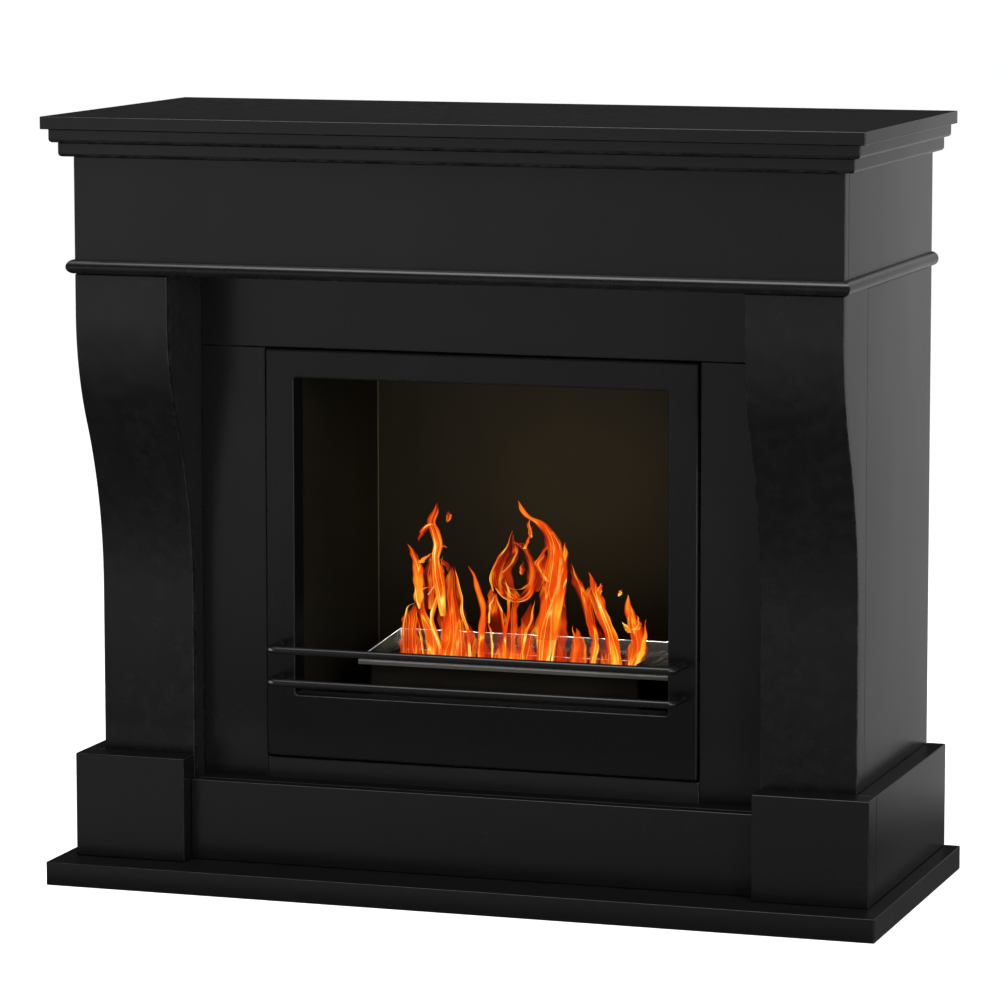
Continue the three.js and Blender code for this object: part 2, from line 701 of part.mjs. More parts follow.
function makeRegulator() {
  const bottomZ = trayTopZ + jointGap;
  const topZ = bottomZ + burnerSheet;
  const halfX = lidHalfWidth;

  const plateShape = rectangle([-halfX, halfX], [lidFrontY, lidBackY]);
  const hookHole = new THREE.Path();
  hookHole.absarc(0, lidFrontY + lidHoleSetback, lidHoleDiameter / 2, 0, 2 * Math.PI);
  plateShape.holes.push(hookHole);
  const plate = alongZ(plateShape, bottomZ, topZ);
  const lipShape = rectangle([lidFrontY, lidFrontY + burnerSheet], [bottomZ, topZ + lidLipHeight]);
  const lipHalfX = halfX - guideOverlap - guideWidth;
  const lip = alongX(lipShape, -lipHalfX, lipHalfX);
  addPiece('regulator_lid', join([plate, lip]), stainless);

  // Each guide is a folded strip whose upper leg reaches over the end of the lid.
  const guideTopZ = bottomZ + guideHeight;
  const guideY = [slotFrontY - lidSlotMargin, lidBackY - jointGap];
  for (const [side, sign] of [['left', -1], ['right', 1]]) {
    const strip = polygon([
      [sign * guideInnerX, bottomZ],
      [sign * (guideInnerX + guideWidth), bottomZ],
      [sign * (guideInnerX + guideWidth), bottomZ + burnerSheet],
      [sign * (guideInnerX + burnerSheet), bottomZ + burnerSheet],
      [sign * (guideInnerX + burnerSheet), guideTopZ],
      [sign * (guideInnerX - guideOverlap), guideTopZ],
      [sign * (guideInnerX - guideOverlap), guideTopZ - burnerSheet],
      [sign * guideInnerX, guideTopZ - burnerSheet],
    ]);
    addPiece(`regulator_guide_${side}`, alongY(strip, ...guideY), stainless);
  }
}

function makeTank() {
  const x = [-tankHalfWidth, tankHalfWidth];
  const bottomZ = fireboxFloorZ + jointGap;
  addPiece('burner_tank', pan(x, tankY, [bottomZ, tankTopZ], burnerSheet), stainless);

  const padInset = -burnerSheet - padClearance;
  const padBottomZ = bottomZ + burnerSheet + jointGap;
  const padZ = [padBottomZ, padBottomZ + padHeight];
  board('absorbent_pad', grow(x, padInset), grow(tankY, padInset), padZ, mineralWool, padEase);
}

makePlinth();
pilaster('left', -1);
pilaster('right', 1);
makeRecess();
makeFrieze();
makeBead();
makeCornice();
makeCarcass();
makeInsertFront();
makeFirebox();
makeTank();
makeTray();
makeRegulator();

export default fireplace;
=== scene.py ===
import bpy
import bmesh
import math
import numpy as np
from mathutils import Matrix, Vector


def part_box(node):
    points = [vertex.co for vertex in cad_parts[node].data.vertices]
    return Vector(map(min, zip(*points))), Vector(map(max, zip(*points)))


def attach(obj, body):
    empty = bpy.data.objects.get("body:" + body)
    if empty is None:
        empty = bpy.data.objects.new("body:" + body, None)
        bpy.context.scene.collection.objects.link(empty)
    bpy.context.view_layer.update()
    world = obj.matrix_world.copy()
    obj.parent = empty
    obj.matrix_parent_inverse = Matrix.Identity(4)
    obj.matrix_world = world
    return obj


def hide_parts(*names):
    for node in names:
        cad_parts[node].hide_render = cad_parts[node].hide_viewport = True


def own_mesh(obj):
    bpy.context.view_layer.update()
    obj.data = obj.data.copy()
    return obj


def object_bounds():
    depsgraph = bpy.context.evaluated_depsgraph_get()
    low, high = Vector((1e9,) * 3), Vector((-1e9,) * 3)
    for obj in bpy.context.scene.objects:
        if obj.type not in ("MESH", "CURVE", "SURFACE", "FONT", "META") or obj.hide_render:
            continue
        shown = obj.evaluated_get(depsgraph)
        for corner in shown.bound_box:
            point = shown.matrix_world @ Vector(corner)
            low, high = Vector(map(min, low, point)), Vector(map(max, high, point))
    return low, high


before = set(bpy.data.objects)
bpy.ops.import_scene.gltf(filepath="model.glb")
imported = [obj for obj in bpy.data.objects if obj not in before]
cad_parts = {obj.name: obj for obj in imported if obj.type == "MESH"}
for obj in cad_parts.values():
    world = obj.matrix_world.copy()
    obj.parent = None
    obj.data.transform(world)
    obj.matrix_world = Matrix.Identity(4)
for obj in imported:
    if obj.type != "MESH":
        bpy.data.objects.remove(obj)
cadLow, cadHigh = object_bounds()
print("frame loaded with", len(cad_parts), "nodes")

mm = 0.001

# The camera stands to the right of the middle, a little above the top slab.
photoCamera = {
    "place": (1.9447, -5.8527, 1.3339),
    "turnLeft": 17.949,       # degrees
    "tipDown": 7.298,
    "lens": 175.4,
    "sensor": 36.0,
    "shift": (-0.04, -0.04),
    "clipEnd": 200.0,
}


def addCamera(settings):
    # the two angles give the direction of view; the camera is never rolled
    turn = math.radians(settings["turnLeft"])
    tip = math.radians(settings["tipDown"])
    level = Vector((-math.sin(turn), math.cos(turn), 0.0))
    forward = Vector((level.x * math.cos(tip), level.y * math.cos(tip), -math.sin(tip)))
    right = Vector((math.cos(turn), math.sin(turn), 0.0))
    up = right.cross(forward)
    data = bpy.data.cameras.new("photo_camera")
    data.lens = settings["lens"]
    data.sensor_width = settings["sensor"]
    data.shift_x, data.shift_y = settings["shift"]
    data.clip_end = settings["clipEnd"]
    camera = bpy.data.objects.new("photo_camera", data)
    bpy.context.collection.objects.link(camera)
    axes = Matrix((right, up, -forward)).transposed().to_4x4()
    camera.matrix_world = Matrix.Translation(Vector(settings["place"])) @ axes
    bpy.context.scene.camera = camera


addCamera(photoCamera)


def bandFaces(rows, columns, closeRows=False, closeColumns=True):
    # quads of a grid of points numbered row by row; either way round may close on itself
    rowCount = rows if closeRows else rows - 1
    columnCount = columns if closeColumns else columns - 1
    row, column = np.meshgrid(np.arange(rowCount), np.arange(columnCount), indexing="ij")
    nextRow = (row + 1) % rows
    nextColumn = (column + 1) % columns
    corners = [row * columns + column, row * columns + nextColumn,
               nextRow * columns + nextColumn, nextRow * columns + column]
    return np.stack(corners, axis=-1).reshape(-1, 4)


def quarterTurn(count):
    return np.linspace(0.0, math.pi / 2, count)


def fullTurn(count):
    return np.linspace(0.0, 2 * math.pi, count, endpoint=False)


def fromParts(*parts):
    # points from their coordinates, each an array or one number for all
    return np.stack(np.broadcast_arrays(*parts), axis=-1)


def keepValue(mesh, key, amounts):
    # a number for every point of the mesh: one for all, or an array
    layer = mesh.attributes.new(key, "FLOAT", "POINT")
    amounts = np.broadcast_to(np.asarray(amounts, np.float32).ravel(), len(mesh.vertices))
    layer.data.foreach_set("value", np.ascontiguousarray(amounts))


def meshPiece(name, points, faces, sharpAngle=35.0, values=None):
    # a closed mesh with its doubles merged, faces out, smooth except at edges over the angle
    mesh = bpy.data.meshes.new(name)
    mesh.from_pydata(np.asarray(points).reshape(-1, 3).tolist(), [], faces)
    for key, amounts in (values or {}).items():
        keepValue(mesh, key, amounts)
    work = bmesh.new()
    work.from_mesh(mesh)
    bmesh.ops.remove_doubles(work, verts=work.verts, dist=1e-6)
    bmesh.ops.recalc_face_normals(work, faces=work.faces)
    work.to_mesh(mesh)
    work.free()
    mesh.polygons.foreach_set("use_smooth", np.ones(len(mesh.polygons), bool))
    mesh.set_sharp_from_angle(angle=math.radians(sharpAngle))
    piece = bpy.data.objects.new(name, mesh)
    bpy.context.collection.objects.link(piece)
    return piece


def lofted(name, rings, closeRows=False, sharpAngle=35.0):
    # rings of points joined in order; open ends are closed by flat faces
    rings = np.asarray(rings)
    rows, columns = rings.shape[:2]
    faces = bandFaces(rows, columns, closeRows).tolist()
    if not closeRows:
        faces.append(list(range(columns))[::-1])
        faces.append(list(range((rows - 1) * columns, rows * columns)))
    return meshPiece(name, rings, faces, sharpAngle)


def joined(name, pieces):
    # one piece from several meshes, keeping each one's sharp edges
    with bpy.context.temp_override(active_object=pieces[0], selected_editable_objects=pieces):
        bpy.ops.object.join()
    pieces[0].name = name
    pieces[0].data.name = name
    return pieces[0]


def evenNormals(piece):
    # broad flat faces keep their own normal next to rounded edges
    modifier = piece.modifiers.new("even_normals", "WEIGHTED_NORMAL")
    modifier.keep_sharp = True
    return piece


def markArrises(piece, sidesOnly=False):
    # 1 on the middle of a rounded edge, 0 on faces square to the axes; on a bent board only
    # the edges along its sides count
    mesh = piece.data
    normals = np.empty(len(mesh.vertices) * 3, np.float32)
    mesh.vertex_normals.foreach_get("vector", normals)
    normals = np.abs(normals.reshape(-1, 3))
    if sidesOnly:
        across = normals[:, 0]
        amount = 2.0 * across * np.sqrt(np.clip(1.0 - across**2, 0.0, 1.0))
    else:
        amount = (1.0 - normals.max(axis=1)) / (1.0 - math.sqrt(0.5))
    keepValue(mesh, "arris", np.clip(amount, 0.0, 1.0))
    return piece


def outlineParts(low, high, radius, steps):
    # corner centres and directions of a rounded rectangle, anticlockwise from the first corner
    turns = quarterTurn(steps + 1)
    angles = (np.arange(4)[:, None] * math.pi / 2 + turns[None, :]).ravel()
    directions = fromParts(np.cos(angles), np.sin(angles))
    centres = np.array([[high[0], high[1]], [low[0], high[1]],
                        [low[0], low[1]], [high[0], low[1]]], float)
    centres += radius * np.array([[-1, -1], [1, -1], [1, 1], [-1, 1]])
    return np.repeat(centres, steps + 1, axis=0), directions


def roundedRectangle(low, high, radius, steps=6):
    centres, directions = outlineParts(low, high, radius, steps)
    return centres + radius * directions


def roundedBoard(name, low, high, radius, steps=4):
    # every section across Z is a rounded rectangle, which shrinks on a quarter circle at both ends
    centres, directions = outlineParts(low[:2], high[:2], radius, steps)
    lift = quarterTurn(steps + 1)
    angles = np.concatenate([lift - math.pi / 2, lift])
    bases = np.repeat([low[2] + radius, high[2] - radius], steps + 1)
    rings = np.empty((len(angles), len(centres), 3))
    rings[:, :, :2] = centres[None] + radius * np.cos(angles)[:, None, None] * directions[None]
    rings[:, :, 2] = (bases + radius * np.sin(angles))[:, None]
    return lofted(name, rings)


def insetOutline(outline, amount):
    # each point moves inwards along the mitre of its two sides; the outline runs anticlockwise
    before = outline - np.roll(outline, 1, axis=0)
    after = np.roll(outline, -1, axis=0) - outline
    before /= np.linalg.norm(before, axis=1, keepdims=True)
    after /= np.linalg.norm(after, axis=1, keepdims=True)
    leftBefore = fromParts(-before[:, 1], before[:, 0])
    leftAfter = fromParts(-after[:, 1], after[:, 0])
    mitre = leftBefore + leftAfter
    mitre /= np.maximum(np.sum(mitre * leftAfter, axis=1, keepdims=True), 0.3)
    return outline + amount * mitre


def plateFromOutline(name, outline, axis, low, high, ease, steps=2):
    # a flat plate: the outline pushed along an axis, drawn in on a quarter circle at both faces
    following = np.roll(outline, -1, axis=0)
    area = np.sum(outline[:, 0] * following[:, 1] - following[:, 0] * outline[:, 1])
    if area < 0:
        outline = outline[::-1]
    turns = quarterTurn(steps + 1)
    insets = ease * (1.0 - np.sin(turns))
    offsets = ease * (1.0 - np.cos(turns))
    places = np.concatenate([low + offsets, (high - offsets)[::-1]])
    insets = np.concatenate([insets, insets[::-1]])
    others = [index for index in range(3) if index != axis]
    rings = np.empty((len(places), len(outline), 3))
    for row, (place, inset) in enumerate(zip(places, insets)):
        rings[row][:, others] = insetOutline(outline, inset)
        rings[row][:, axis] = place
    return lofted(name, rings)


def roundedPath(corners, radius, steps=5):
    # a line whose corners are replaced by arcs of one radius
    corners = np.asarray(corners, float)
    path = [corners[0]]
    for before, corner, after in zip(corners[:-2], corners[1:-1], corners[2:]):
        inward = (before - corner) / np.linalg.norm(before - corner)
        outward = (after - corner) / np.linalg.norm(after - corner)
        half = 0.5 * math.acos(np.clip(np.dot(inward, outward), -1.0, 1.0))
        bisector = (inward + outward) / np.linalg.norm(inward + outward)
        centre = corner + bisector * radius / math.sin(half)
        start = corner + inward * radius / math.tan(half) - centre
        end = corner + outward * radius / math.tan(half) - centre
        for share in np.linspace(0.0, 1.0, steps + 1):
            angle = share * (math.pi - 2 * half)
            blend = math.sin((math.pi - 2 * half) - angle) * start + math.sin(angle) * end
            path.append(centre + blend / math.sin(math.pi - 2 * half))
    path.append(corners[-1])
    return np.array(path)


def lineNormals(path):
    # unit normals to the left of an open line, mitred at its points
    steps = np.diff(path, axis=0)
    steps /= np.linalg.norm(steps, axis=1, keepdims=True)
    before = np.vstack([steps[:1], steps])
    after = np.vstack([steps, steps[-1:]])
    left = fromParts(-(before + after)[:, 1], (before + after)[:, 0])
    leftAfter = fromParts(-after[:, 1], after[:, 0])
    return left / np.sum(left * leftAfter, axis=1, keepdims=True)


def bentStrip(corners, thickness, radius):
    # outline of a folded sheet: both sides of its bent middle line
    path = roundedPath(corners, radius)
    side = lineNormals(path) * thickness / 2
    return np.vstack([path + side, (path - side)[::-1]])


def rectangleRing(low, high, radius, depth, steps=6):
    # a rounded rectangle standing in XZ at one depth
    flat = roundedRectangle(low, high, radius, steps)
    return fromParts(flat[:, 0], depth, flat[:, 1])


def levelRing(low, high, radius, height, steps=6):
    # a rounded rectangle lying in XY at one height
    flat = roundedRectangle(low, high, radius, steps)
    return fromParts(flat[:, 0], flat[:, 1], height)


def openBox(name, low, high, thickness, corner, bend):
    # a folded or drawn box: outside from the bottom up, over the rim, and down the inside
    low, high = np.array(low), np.array(high)
    turns = quarterTurn(5)
    rings = []
    for turn in turns:
        inset = bend * (1 - math.sin(turn))
        rings.append((inset, low[2] + bend * (1 - math.cos(turn))))
    rim = thickness / 2
    for turn in np.linspace(0.0, math.pi, 7):
        rings.append((rim * (1 - math.cos(turn)), high[2] - rim + rim * math.sin(turn)))
    innerBend = max(bend - thickness, 0.2 * mm)
    for turn in turns[::-1]:
        inset = thickness + innerBend * (1 - math.sin(turn))
        rings.append((inset, low[2] + thickness + innerBend * (1 - math.cos(turn))))
    made = []
    for inset, height in rings:
        radius = max(corner - inset, 0.1 * mm)
        made.append(levelRing(low[:2] + inset, high[:2] - inset, radius, height))
    return lofted(name, made)


def sectionLoft(name, path, normals, section, shrink):
    # a section of (x, depth) points carried along a line in YZ; its front and sides draw in
    # by the shrink of each station
    middle = (section[:, 0].min() + section[:, 0].max()) / 2
    halfDepth = (section[:, 1].min() + section[:, 1].max()) / 2
    drawX = -np.sign(section[:, 0] - middle)
    drawDepth = (section[:, 1] < halfDepth).astype(float)
    x = section[None, :, 0] + shrink[:, None] * drawX[None, :]
    depth = section[None, :, 1] + shrink[:, None] * drawDepth[None, :]
    y = path[:, None, 0] + normals[:, None, 0] * depth
    z = path[:, None, 1] + normals[:, None, 1] * depth
    return lofted(name, fromParts(x, y, z))


def hideFrom(piece, *rays):
    # rays of the named kinds pass through the piece
    piece.visible_camera = "camera" not in rays
    piece.visible_diffuse = "diffuse" not in rays
    piece.visible_glossy = "glossy" not in rays
    piece.visible_shadow = "shadow" not in rays
    piece.visible_transmission = "transmission" not in rays


def dressAlone(piece, material):
    # a piece that stands for no node: part of the insert's look
    piece.data.materials.append(material)
    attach(piece, "root")
    return piece


def dress(piece, node, material, body="root"):
    # the piece stands for its node, moves with its body and takes the finish it is given
    piece.data.materials.clear()
    piece.data.materials.append(material)
    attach(piece, body)
    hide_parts(node)
    return piece


class Finish:
    # a Principled material, and the few nodes that every finish here is made of

    def __init__(self, name, colour, roughness, metallic=0.0, specular=0.5):
        self.open(name)
        self.shader = self.nodes["Principled BSDF"]
        self.set("Base Color", colour)
        self.set("Roughness", roughness)
        self.set("Metallic", metallic)
        self.set("Specular IOR Level", specular)

    def open(self, name):
        self.material = bpy.data.materials.new(name)
        self.material.use_nodes = True
        self.nodes, self.links = self.material.node_tree.nodes, self.material.node_tree.links

    def put(self, socket, value):
        # a number or a colour is set on the socket, and another node's output is linked to it
        if isinstance(value, bpy.types.NodeSocket):
            self.links.new(value, socket)
        else:
            socket.default_value = (*value, 1.0) if socket.type == "RGBA" else value

    def set(self, key, value):
        self.put(self.shader.inputs[key], value)

    def add(self, kind, sockets=None):
        node = self.nodes.new("ShaderNode" + kind)
        for key, value in (sockets or {}).items():
            self.put(node.inputs[key], value)
        return node

    def noise(self, scale, stretch=(1.0, 1.0, 1.0), detail=3.0, roughness=0.5):
        # noise that lies in the object's own metres; scale is in waves per metre
        place = self.add("TexCoord").outputs["Object"]
        mapping = self.add("Mapping", {"Scale": stretch, "Vector": place})
        return self.add("TexNoise", {"Scale": scale, "Detail": detail, "Roughness": roughness,
                                     "Vector": mapping.outputs["Vector"]}).outputs["Fac"]

    def axes(self, kind="Object"):
        # X, Y and Z of the place in the object, or of its normal
        return self.add("SeparateXYZ", {"Vector": self.add("TexCoord").outputs[kind]}).outputs

    def amount(self, key):
        # a value kept on the mesh
        attribute = self.add("Attribute")
        attribute.attribute_name = key
        return attribute.outputs["Fac"]

    def remap(self, value, low, high, toLow, toHigh):
        return self.add("MapRange", {"From Min": low, "From Max": high, "To Min": toLow,
                                     "To Max": toHigh, "Value": value}).outputs["Result"]

    def fromNoise(self, noise, toLow, toHigh):
        # noise keeps mostly between 0.3 and 0.7
        return self.remap(noise, 0.3, 0.7, toLow, toHigh)

    def math(self, operation, first, second=0.0):
        node = self.add("Math")
        node.operation = operation
        self.put(node.inputs[0], first)
        self.put(node.inputs[1], second)
        return node.outputs["Value"]

    def times(self, first, second):
        return self.math("MULTIPLY", first, second)

    def plus(self, first, second):
        return self.math("ADD", first, second)

    def minus(self, first, second):
        return self.math("SUBTRACT", first, second)

    def mix(self, amount, first, second):
        node = self.add("Mix")
        node.data_type = "RGBA"
        self.put(node.inputs["Factor"], amount)
        for key, value in (("A", first), ("B", second)):
            self.put([s for s in node.inputs if s.name == key and s.type == "RGBA"][0], value)
        return [s for s in node.outputs if s.type == "RGBA"][0]

    def bump(self, height, strength, distance=0.3 * mm):
        node = self.add("Bump", {"Strength": strength, "Distance": distance, "Height": height})
        self.set("Normal", node.outputs["Normal"])


class Glow(Finish):
    # a material that only gives light

    def __init__(self, name, strength=1.0, colour=(1.0, 1.0, 1.0)):
        self.open(name)
        self.nodes.clear()
        self.shader = self.add("Emission", {"Color": colour, "Strength": strength})
        self.output = self.add("OutputMaterial", {"Surface": self.shader.outputs["Emission"]})


blackPaint = {
    "colour": (0.0045, 0.0046, 0.0048),
    "wornAndHighlit": (0.022, 0.022, 0.023),      # lighter on the arrises: thin paint, and a painted highlight along them
    "dust": (0.030, 0.029, 0.028),
    "dustCover": (0.04, 0.40),          # on upright and on level faces
    "gloss": (0.22, 0.30),
    "dulled": 0.12,                     # roughness added by dust on level faces, and by wear
    "shine": 0.5,                       # specular level on upright faces
    "levelShine": (0.10, 0.32),         # and on level faces, low and high up
    "levelShineHeight": (0.14, 0.40),
    "level": 0.80,                      # a normal's Z from which a face counts as level
}


def makeBlackPaint(settings):
    # satin paint: wiping marks change its gloss, dust lies on level faces, and the arrises are
    # lighter, partly as worn paint and partly as a painted highlight
    finish = Finish("satin_black_paint", settings["colour"], 0.26)
    patches = finish.noise(5.0, detail=2.0)
    wiping = finish.noise(12.0, stretch=(1.0, 1.0, 0.3), detail=2.0)
    specks = finish.noise(420.0, detail=1.0)
    rubbed = finish.noise(60.0, detail=4.0, roughness=0.7)
    # where a noise lets it, the arrises take the lighter colour: wear and a painted highlight
    wearAndHighlight = finish.times(finish.amount("arris"), finish.remap(rubbed, 0.42, 0.70, 0.0, 1.0))
    upward = finish.remap(finish.axes("Normal")["Z"], settings["level"], 1.0, 0.0, 1.0)
    lying = finish.remap(upward, 0.0, 1.0, *settings["dustCover"])
    dust = finish.times(finish.remap(specks, 0.70, 0.78, 0.0, 1.0), lying)
    dusted = finish.mix(dust, settings["colour"], settings["dust"])
    finish.set("Base Color", finish.mix(wearAndHighlight, dusted, settings["wornAndHighlit"]))
    blend = finish.plus(finish.remap(patches, 0.15, 0.85, 0.0, 0.5),
                        finish.remap(wiping, 0.15, 0.85, 0.0, 0.5))
    gloss = finish.remap(blend, 0.0, 1.0, *settings["gloss"])
    duller = finish.plus(finish.times(wearAndHighlight, settings["dulled"]),
                         finish.times(upward, settings["dulled"]))
    finish.set("Roughness", finish.plus(gloss, duller))
    # level faces keep less gloss lower down
    level = finish.remap(finish.axes()["Z"], *settings["levelShineHeight"], *settings["levelShine"])
    lost = finish.times(upward, finish.minus(settings["shine"], level))
    finish.set("Specular IOR Level", finish.minus(settings["shine"], lost))
    finish.bump(finish.noise(650.0, detail=2.0), 0.06)
    return finish.material


fasciaShape = {
    "sheet": 2 * mm,
    "bend": 3 * mm,
    "openingCorner": 3 * mm,
    "outerLip": 20 * mm,
    "openingLip": 32 * mm,
    "sideWidth": 38.5 * mm,
    "topWidth": 36.5 * mm,
    "lowerPanel": 80 * mm,
}

powderLook = {
    "lighter": 1.6,                     # times the colour, in the grain
    "wornAndHighlit": 9.0,                        # times the colour, on the arrises: wear and a painted highlight
    "wearAndHighlight": 0.8,
    "openingShadeShine": 0.15,                 # share of the gloss left inside the opening, as painted shade there
    "blur": 0.6 * mm,
    "lowHeight": (0.20, 0.33),          # and it is a little duller below the burner, as painted shade under the rails
    "lowShine": (0.34, 0.5),
}


def openingRectangle(settings):
    # the insert's opening in X and Z, from the borders of its front plate
    low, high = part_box("insert_fascia")
    openLow = np.array([low[0] + settings["sideWidth"], low[2] + settings["lowerPanel"]])
    openHigh = np.array([high[0] - settings["sideWidth"], high[2] - settings["topWidth"]])
    return openLow, openHigh


def openingShadeAmount(finish, place, blur):
    # 1 on the sides and top of the insert's opening behind its front face, 0 elsewhere; there the
    # gloss and the painted edge highlight are taken off, which paints shade in the opening
    openLow, openHigh = openingRectangle(fasciaShape)
    bend = fasciaShape["bend"]
    right, top, bottom = openHigh[0] + bend, openHigh[1] + bend, openLow[1] + bend
    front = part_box("insert_fascia")[0][1] + blur
    beside = finish.remap(finish.math("ABSOLUTE", place["X"]), right, right + blur, 1.0, 0.0)
    below = finish.remap(place["Z"], top, top + blur, 1.0, 0.0)
    above = finish.remap(place["Z"], bottom, bottom + blur, 0.0, 1.0)
    behind = finish.remap(place["Y"], front, front + blur, 0.0, 1.0)
    return finish.times(finish.times(beside, below), finish.times(above, behind))


def makePowderCoat(name, colour, gloss, grain, settings=powderLook):
    # fine dry grain of a baked powder coat; its arrises are painted lighter, as wear and as a
    # painted highlight, except in the opening, where less gloss and no highlight paint shade
    finish = Finish(name, colour, gloss[0])
    finish.set("Roughness", finish.remap(finish.noise(9.0, detail=4.0), 0.3, 0.7, *gloss))
    fine = finish.noise(1500.0, detail=2.0)
    lighter, wornAndHighlit = (tuple(settings[key] * part for part in colour) for key in ("lighter", "wornAndHighlit"))
    place = finish.axes()
    openingShade = openingShadeAmount(finish, place, settings["blur"])
    # painted highlight and wear on the arrises, taken off in the opening
    wearAndHighlight = finish.times(finish.times(finish.amount("arris"), settings["wearAndHighlight"]),
                        finish.minus(1.0, openingShade))
    coat = finish.mix(finish.remap(fine, 0.35, 0.75, 0.0, 1.0), colour, lighter)
    finish.set("Base Color", finish.mix(wearAndHighlight, coat, wornAndHighlit))
    finish.bump(fine, grain)
    kept = finish.remap(openingShade, 0.0, 1.0, 1.0, settings["openingShadeShine"])
    # less gloss low down: painted shade under the rails
    low = finish.remap(place["Z"], *settings["lowHeight"], *settings["lowShine"])
    finish.set("Specular IOR Level", finish.times(kept, low))
    return finish.material


def makeFireboxPaint(name, cool, heated):
    # heatproof paint, browner towards the top, where the flames' heat reaches; its arrises carry
    # a painted highlight
    finish = Finish(name, cool, 0.6, specular=0.14)
    soot = finish.noise(7.0, stretch=(1.0, 1.0, 0.45), detail=5.0, roughness=0.6)
    high = finish.remap(finish.axes()["Z"], 0.30, 0.62, 0.0, 0.6)
    browned = finish.mix(finish.times(high, finish.remap(soot, 0.35, 0.65, 0.3, 1.0)), cool, heated)
    # painted highlight: the arrises are four times the heated colour
    wornAndHighlit = tuple(4.0 * part for part in heated)
    finish.set("Base Color", finish.mix(finish.amount("arris"), browned, wornAndHighlit))
    finish.set("Roughness", finish.fromNoise(soot, 0.55, 0.75))
    finish.bump(finish.noise(1300.0, detail=2.0), 0.15)
    return finish.material


def makeBrushedSteel(name, colour, gloss, along, edge=None, dulledBy=0.40):
    # brushing lines run along one axis, so the noise is stretched that way; edges may take a
    # pale, less metallic colour, a painted highlight line, and a part marked dull is rougher
    finish = Finish(name, colour, gloss[0], metallic=1.0)
    stretch = [60.0, 60.0, 60.0]
    stretch[along] = 1.0
    brush = finish.noise(18.0, stretch=tuple(stretch), detail=3.0, roughness=0.6)
    patches = finish.noise(24.0, detail=3.0)
    darker = tuple(0.72 * part for part in colour)
    brushed = finish.mix(finish.fromNoise(brush, 0.0, 0.55), colour, darker)
    # painted highlight: a pale, less metallic colour on the arrises
    if edge:
        brushed = finish.mix(finish.amount("arris"), brushed, edge)
        finish.set("Metallic", finish.remap(finish.amount("arris"), 0.0, 0.6, 1.0, 0.0))
    finish.set("Base Color", brushed)
    blend = finish.plus(finish.fromNoise(brush, 0.0, 0.6),
                        finish.fromNoise(patches, 0.0, 0.4))
    rough = finish.remap(blend, 0.0, 1.0, *gloss)
    finish.set("Roughness", finish.plus(rough, finish.times(finish.amount("dull"), dulledBy)))
    finish.bump(brush, 0.12, 0.2 * mm)
    return finish.material


def makeSeal():
    # closed-cell foam: black, dry and slightly uneven
    finish = Finish("foam_seal", (0.004, 0.004, 0.004), 0.85, specular=0.2)
    cells = finish.noise(900.0, detail=3.0)
    finish.set("Base Color", finish.mix(cells, (0.0025, 0.0025, 0.0025), (0.007, 0.007, 0.007)))
    finish.set("Roughness", finish.fromNoise(cells, 0.75, 0.95))
    finish.bump(cells, 0.3)
    return finish.material


def makeBareBoard():
    # raw fibreboard: short fibres and a soft mottle
    finish = Finish("raw_fibreboard", (0.34, 0.235, 0.145), 0.85)
    mottle = finish.noise(14.0, detail=5.0)
    fibres = finish.noise(260.0, stretch=(0.25, 1.0, 1.0), detail=4.0, roughness=0.7)
    blend = finish.plus(finish.fromNoise(mottle, 0.0, 0.5),
                        finish.fromNoise(fibres, 0.0, 0.5))
    finish.set("Base Color", finish.mix(blend, (0.25, 0.165, 0.098), (0.42, 0.30, 0.19)))
    finish.set("Roughness", finish.fromNoise(fibres, 0.75, 0.92))
    finish.bump(fibres, 0.3)
    return finish.material


def makeWool():
    # ceramic wool: pale strands, darker where it is damp with fuel
    finish = Finish("ceramic_wool", (0.72, 0.68, 0.60), 0.95)
    strands = finish.noise(420.0, stretch=(1.0, 0.3, 1.0), detail=5.0, roughness=0.75)
    damp = finish.noise(22.0, detail=3.0)
    blend = finish.times(finish.fromNoise(strands, 0.2, 1.0),
                         finish.fromNoise(damp, 0.6, 1.0))
    finish.set("Base Color", finish.mix(blend, (0.36, 0.33, 0.28), (0.78, 0.74, 0.66)))
    finish.bump(strands, 0.6, 0.8 * mm)
    return finish.material


paint = makeBlackPaint(blackPaint)
powder = makePowderCoat("black_powder_coat", (0.0024, 0.0024, 0.0026), (0.24, 0.32), 0.12)
railPaint = makePowderCoat("rail_satin_black", (0.0045, 0.0045, 0.0048), (0.26, 0.34), 0.06)
fireboxPaint = makeFireboxPaint("firebox_paint", (0.0082, 0.0064, 0.0034), (0.015, 0.0115, 0.006))
# the back wall's paint is brighter and warmer than the sides': painted light of the flames
flameLitBackPaint = makeFireboxPaint("firebox_flame_lit_back_paint", (0.0092, 0.0073, 0.0043),
                               (0.032, 0.0256, 0.0155))
# weld paint much lighter than the walls: a painted highlight line in the back corners
seamHighlightPaint = makeFireboxPaint("firebox_seam_highlight_paint", (0.018, 0.0145, 0.007), (0.052, 0.041, 0.024))
# the tray's rim edge is painted pale as a highlight line
stainless = makeBrushedSteel("brushed_stainless", (0.36, 0.345, 0.315), (0.20, 0.30), 0,
                             edge=(0.92, 0.90, 0.86))
darkSteel = makeBrushedSteel("dark_tank_steel", (0.070, 0.058, 0.045), (0.40, 0.60), 0)
zinc = makeBrushedSteel("zinc_plate", (0.58, 0.58, 0.55), (0.25, 0.42), 1)
seal = makeSeal()
bareBoard = makeBareBoard()
wool = makeWool()
print("finishes made")


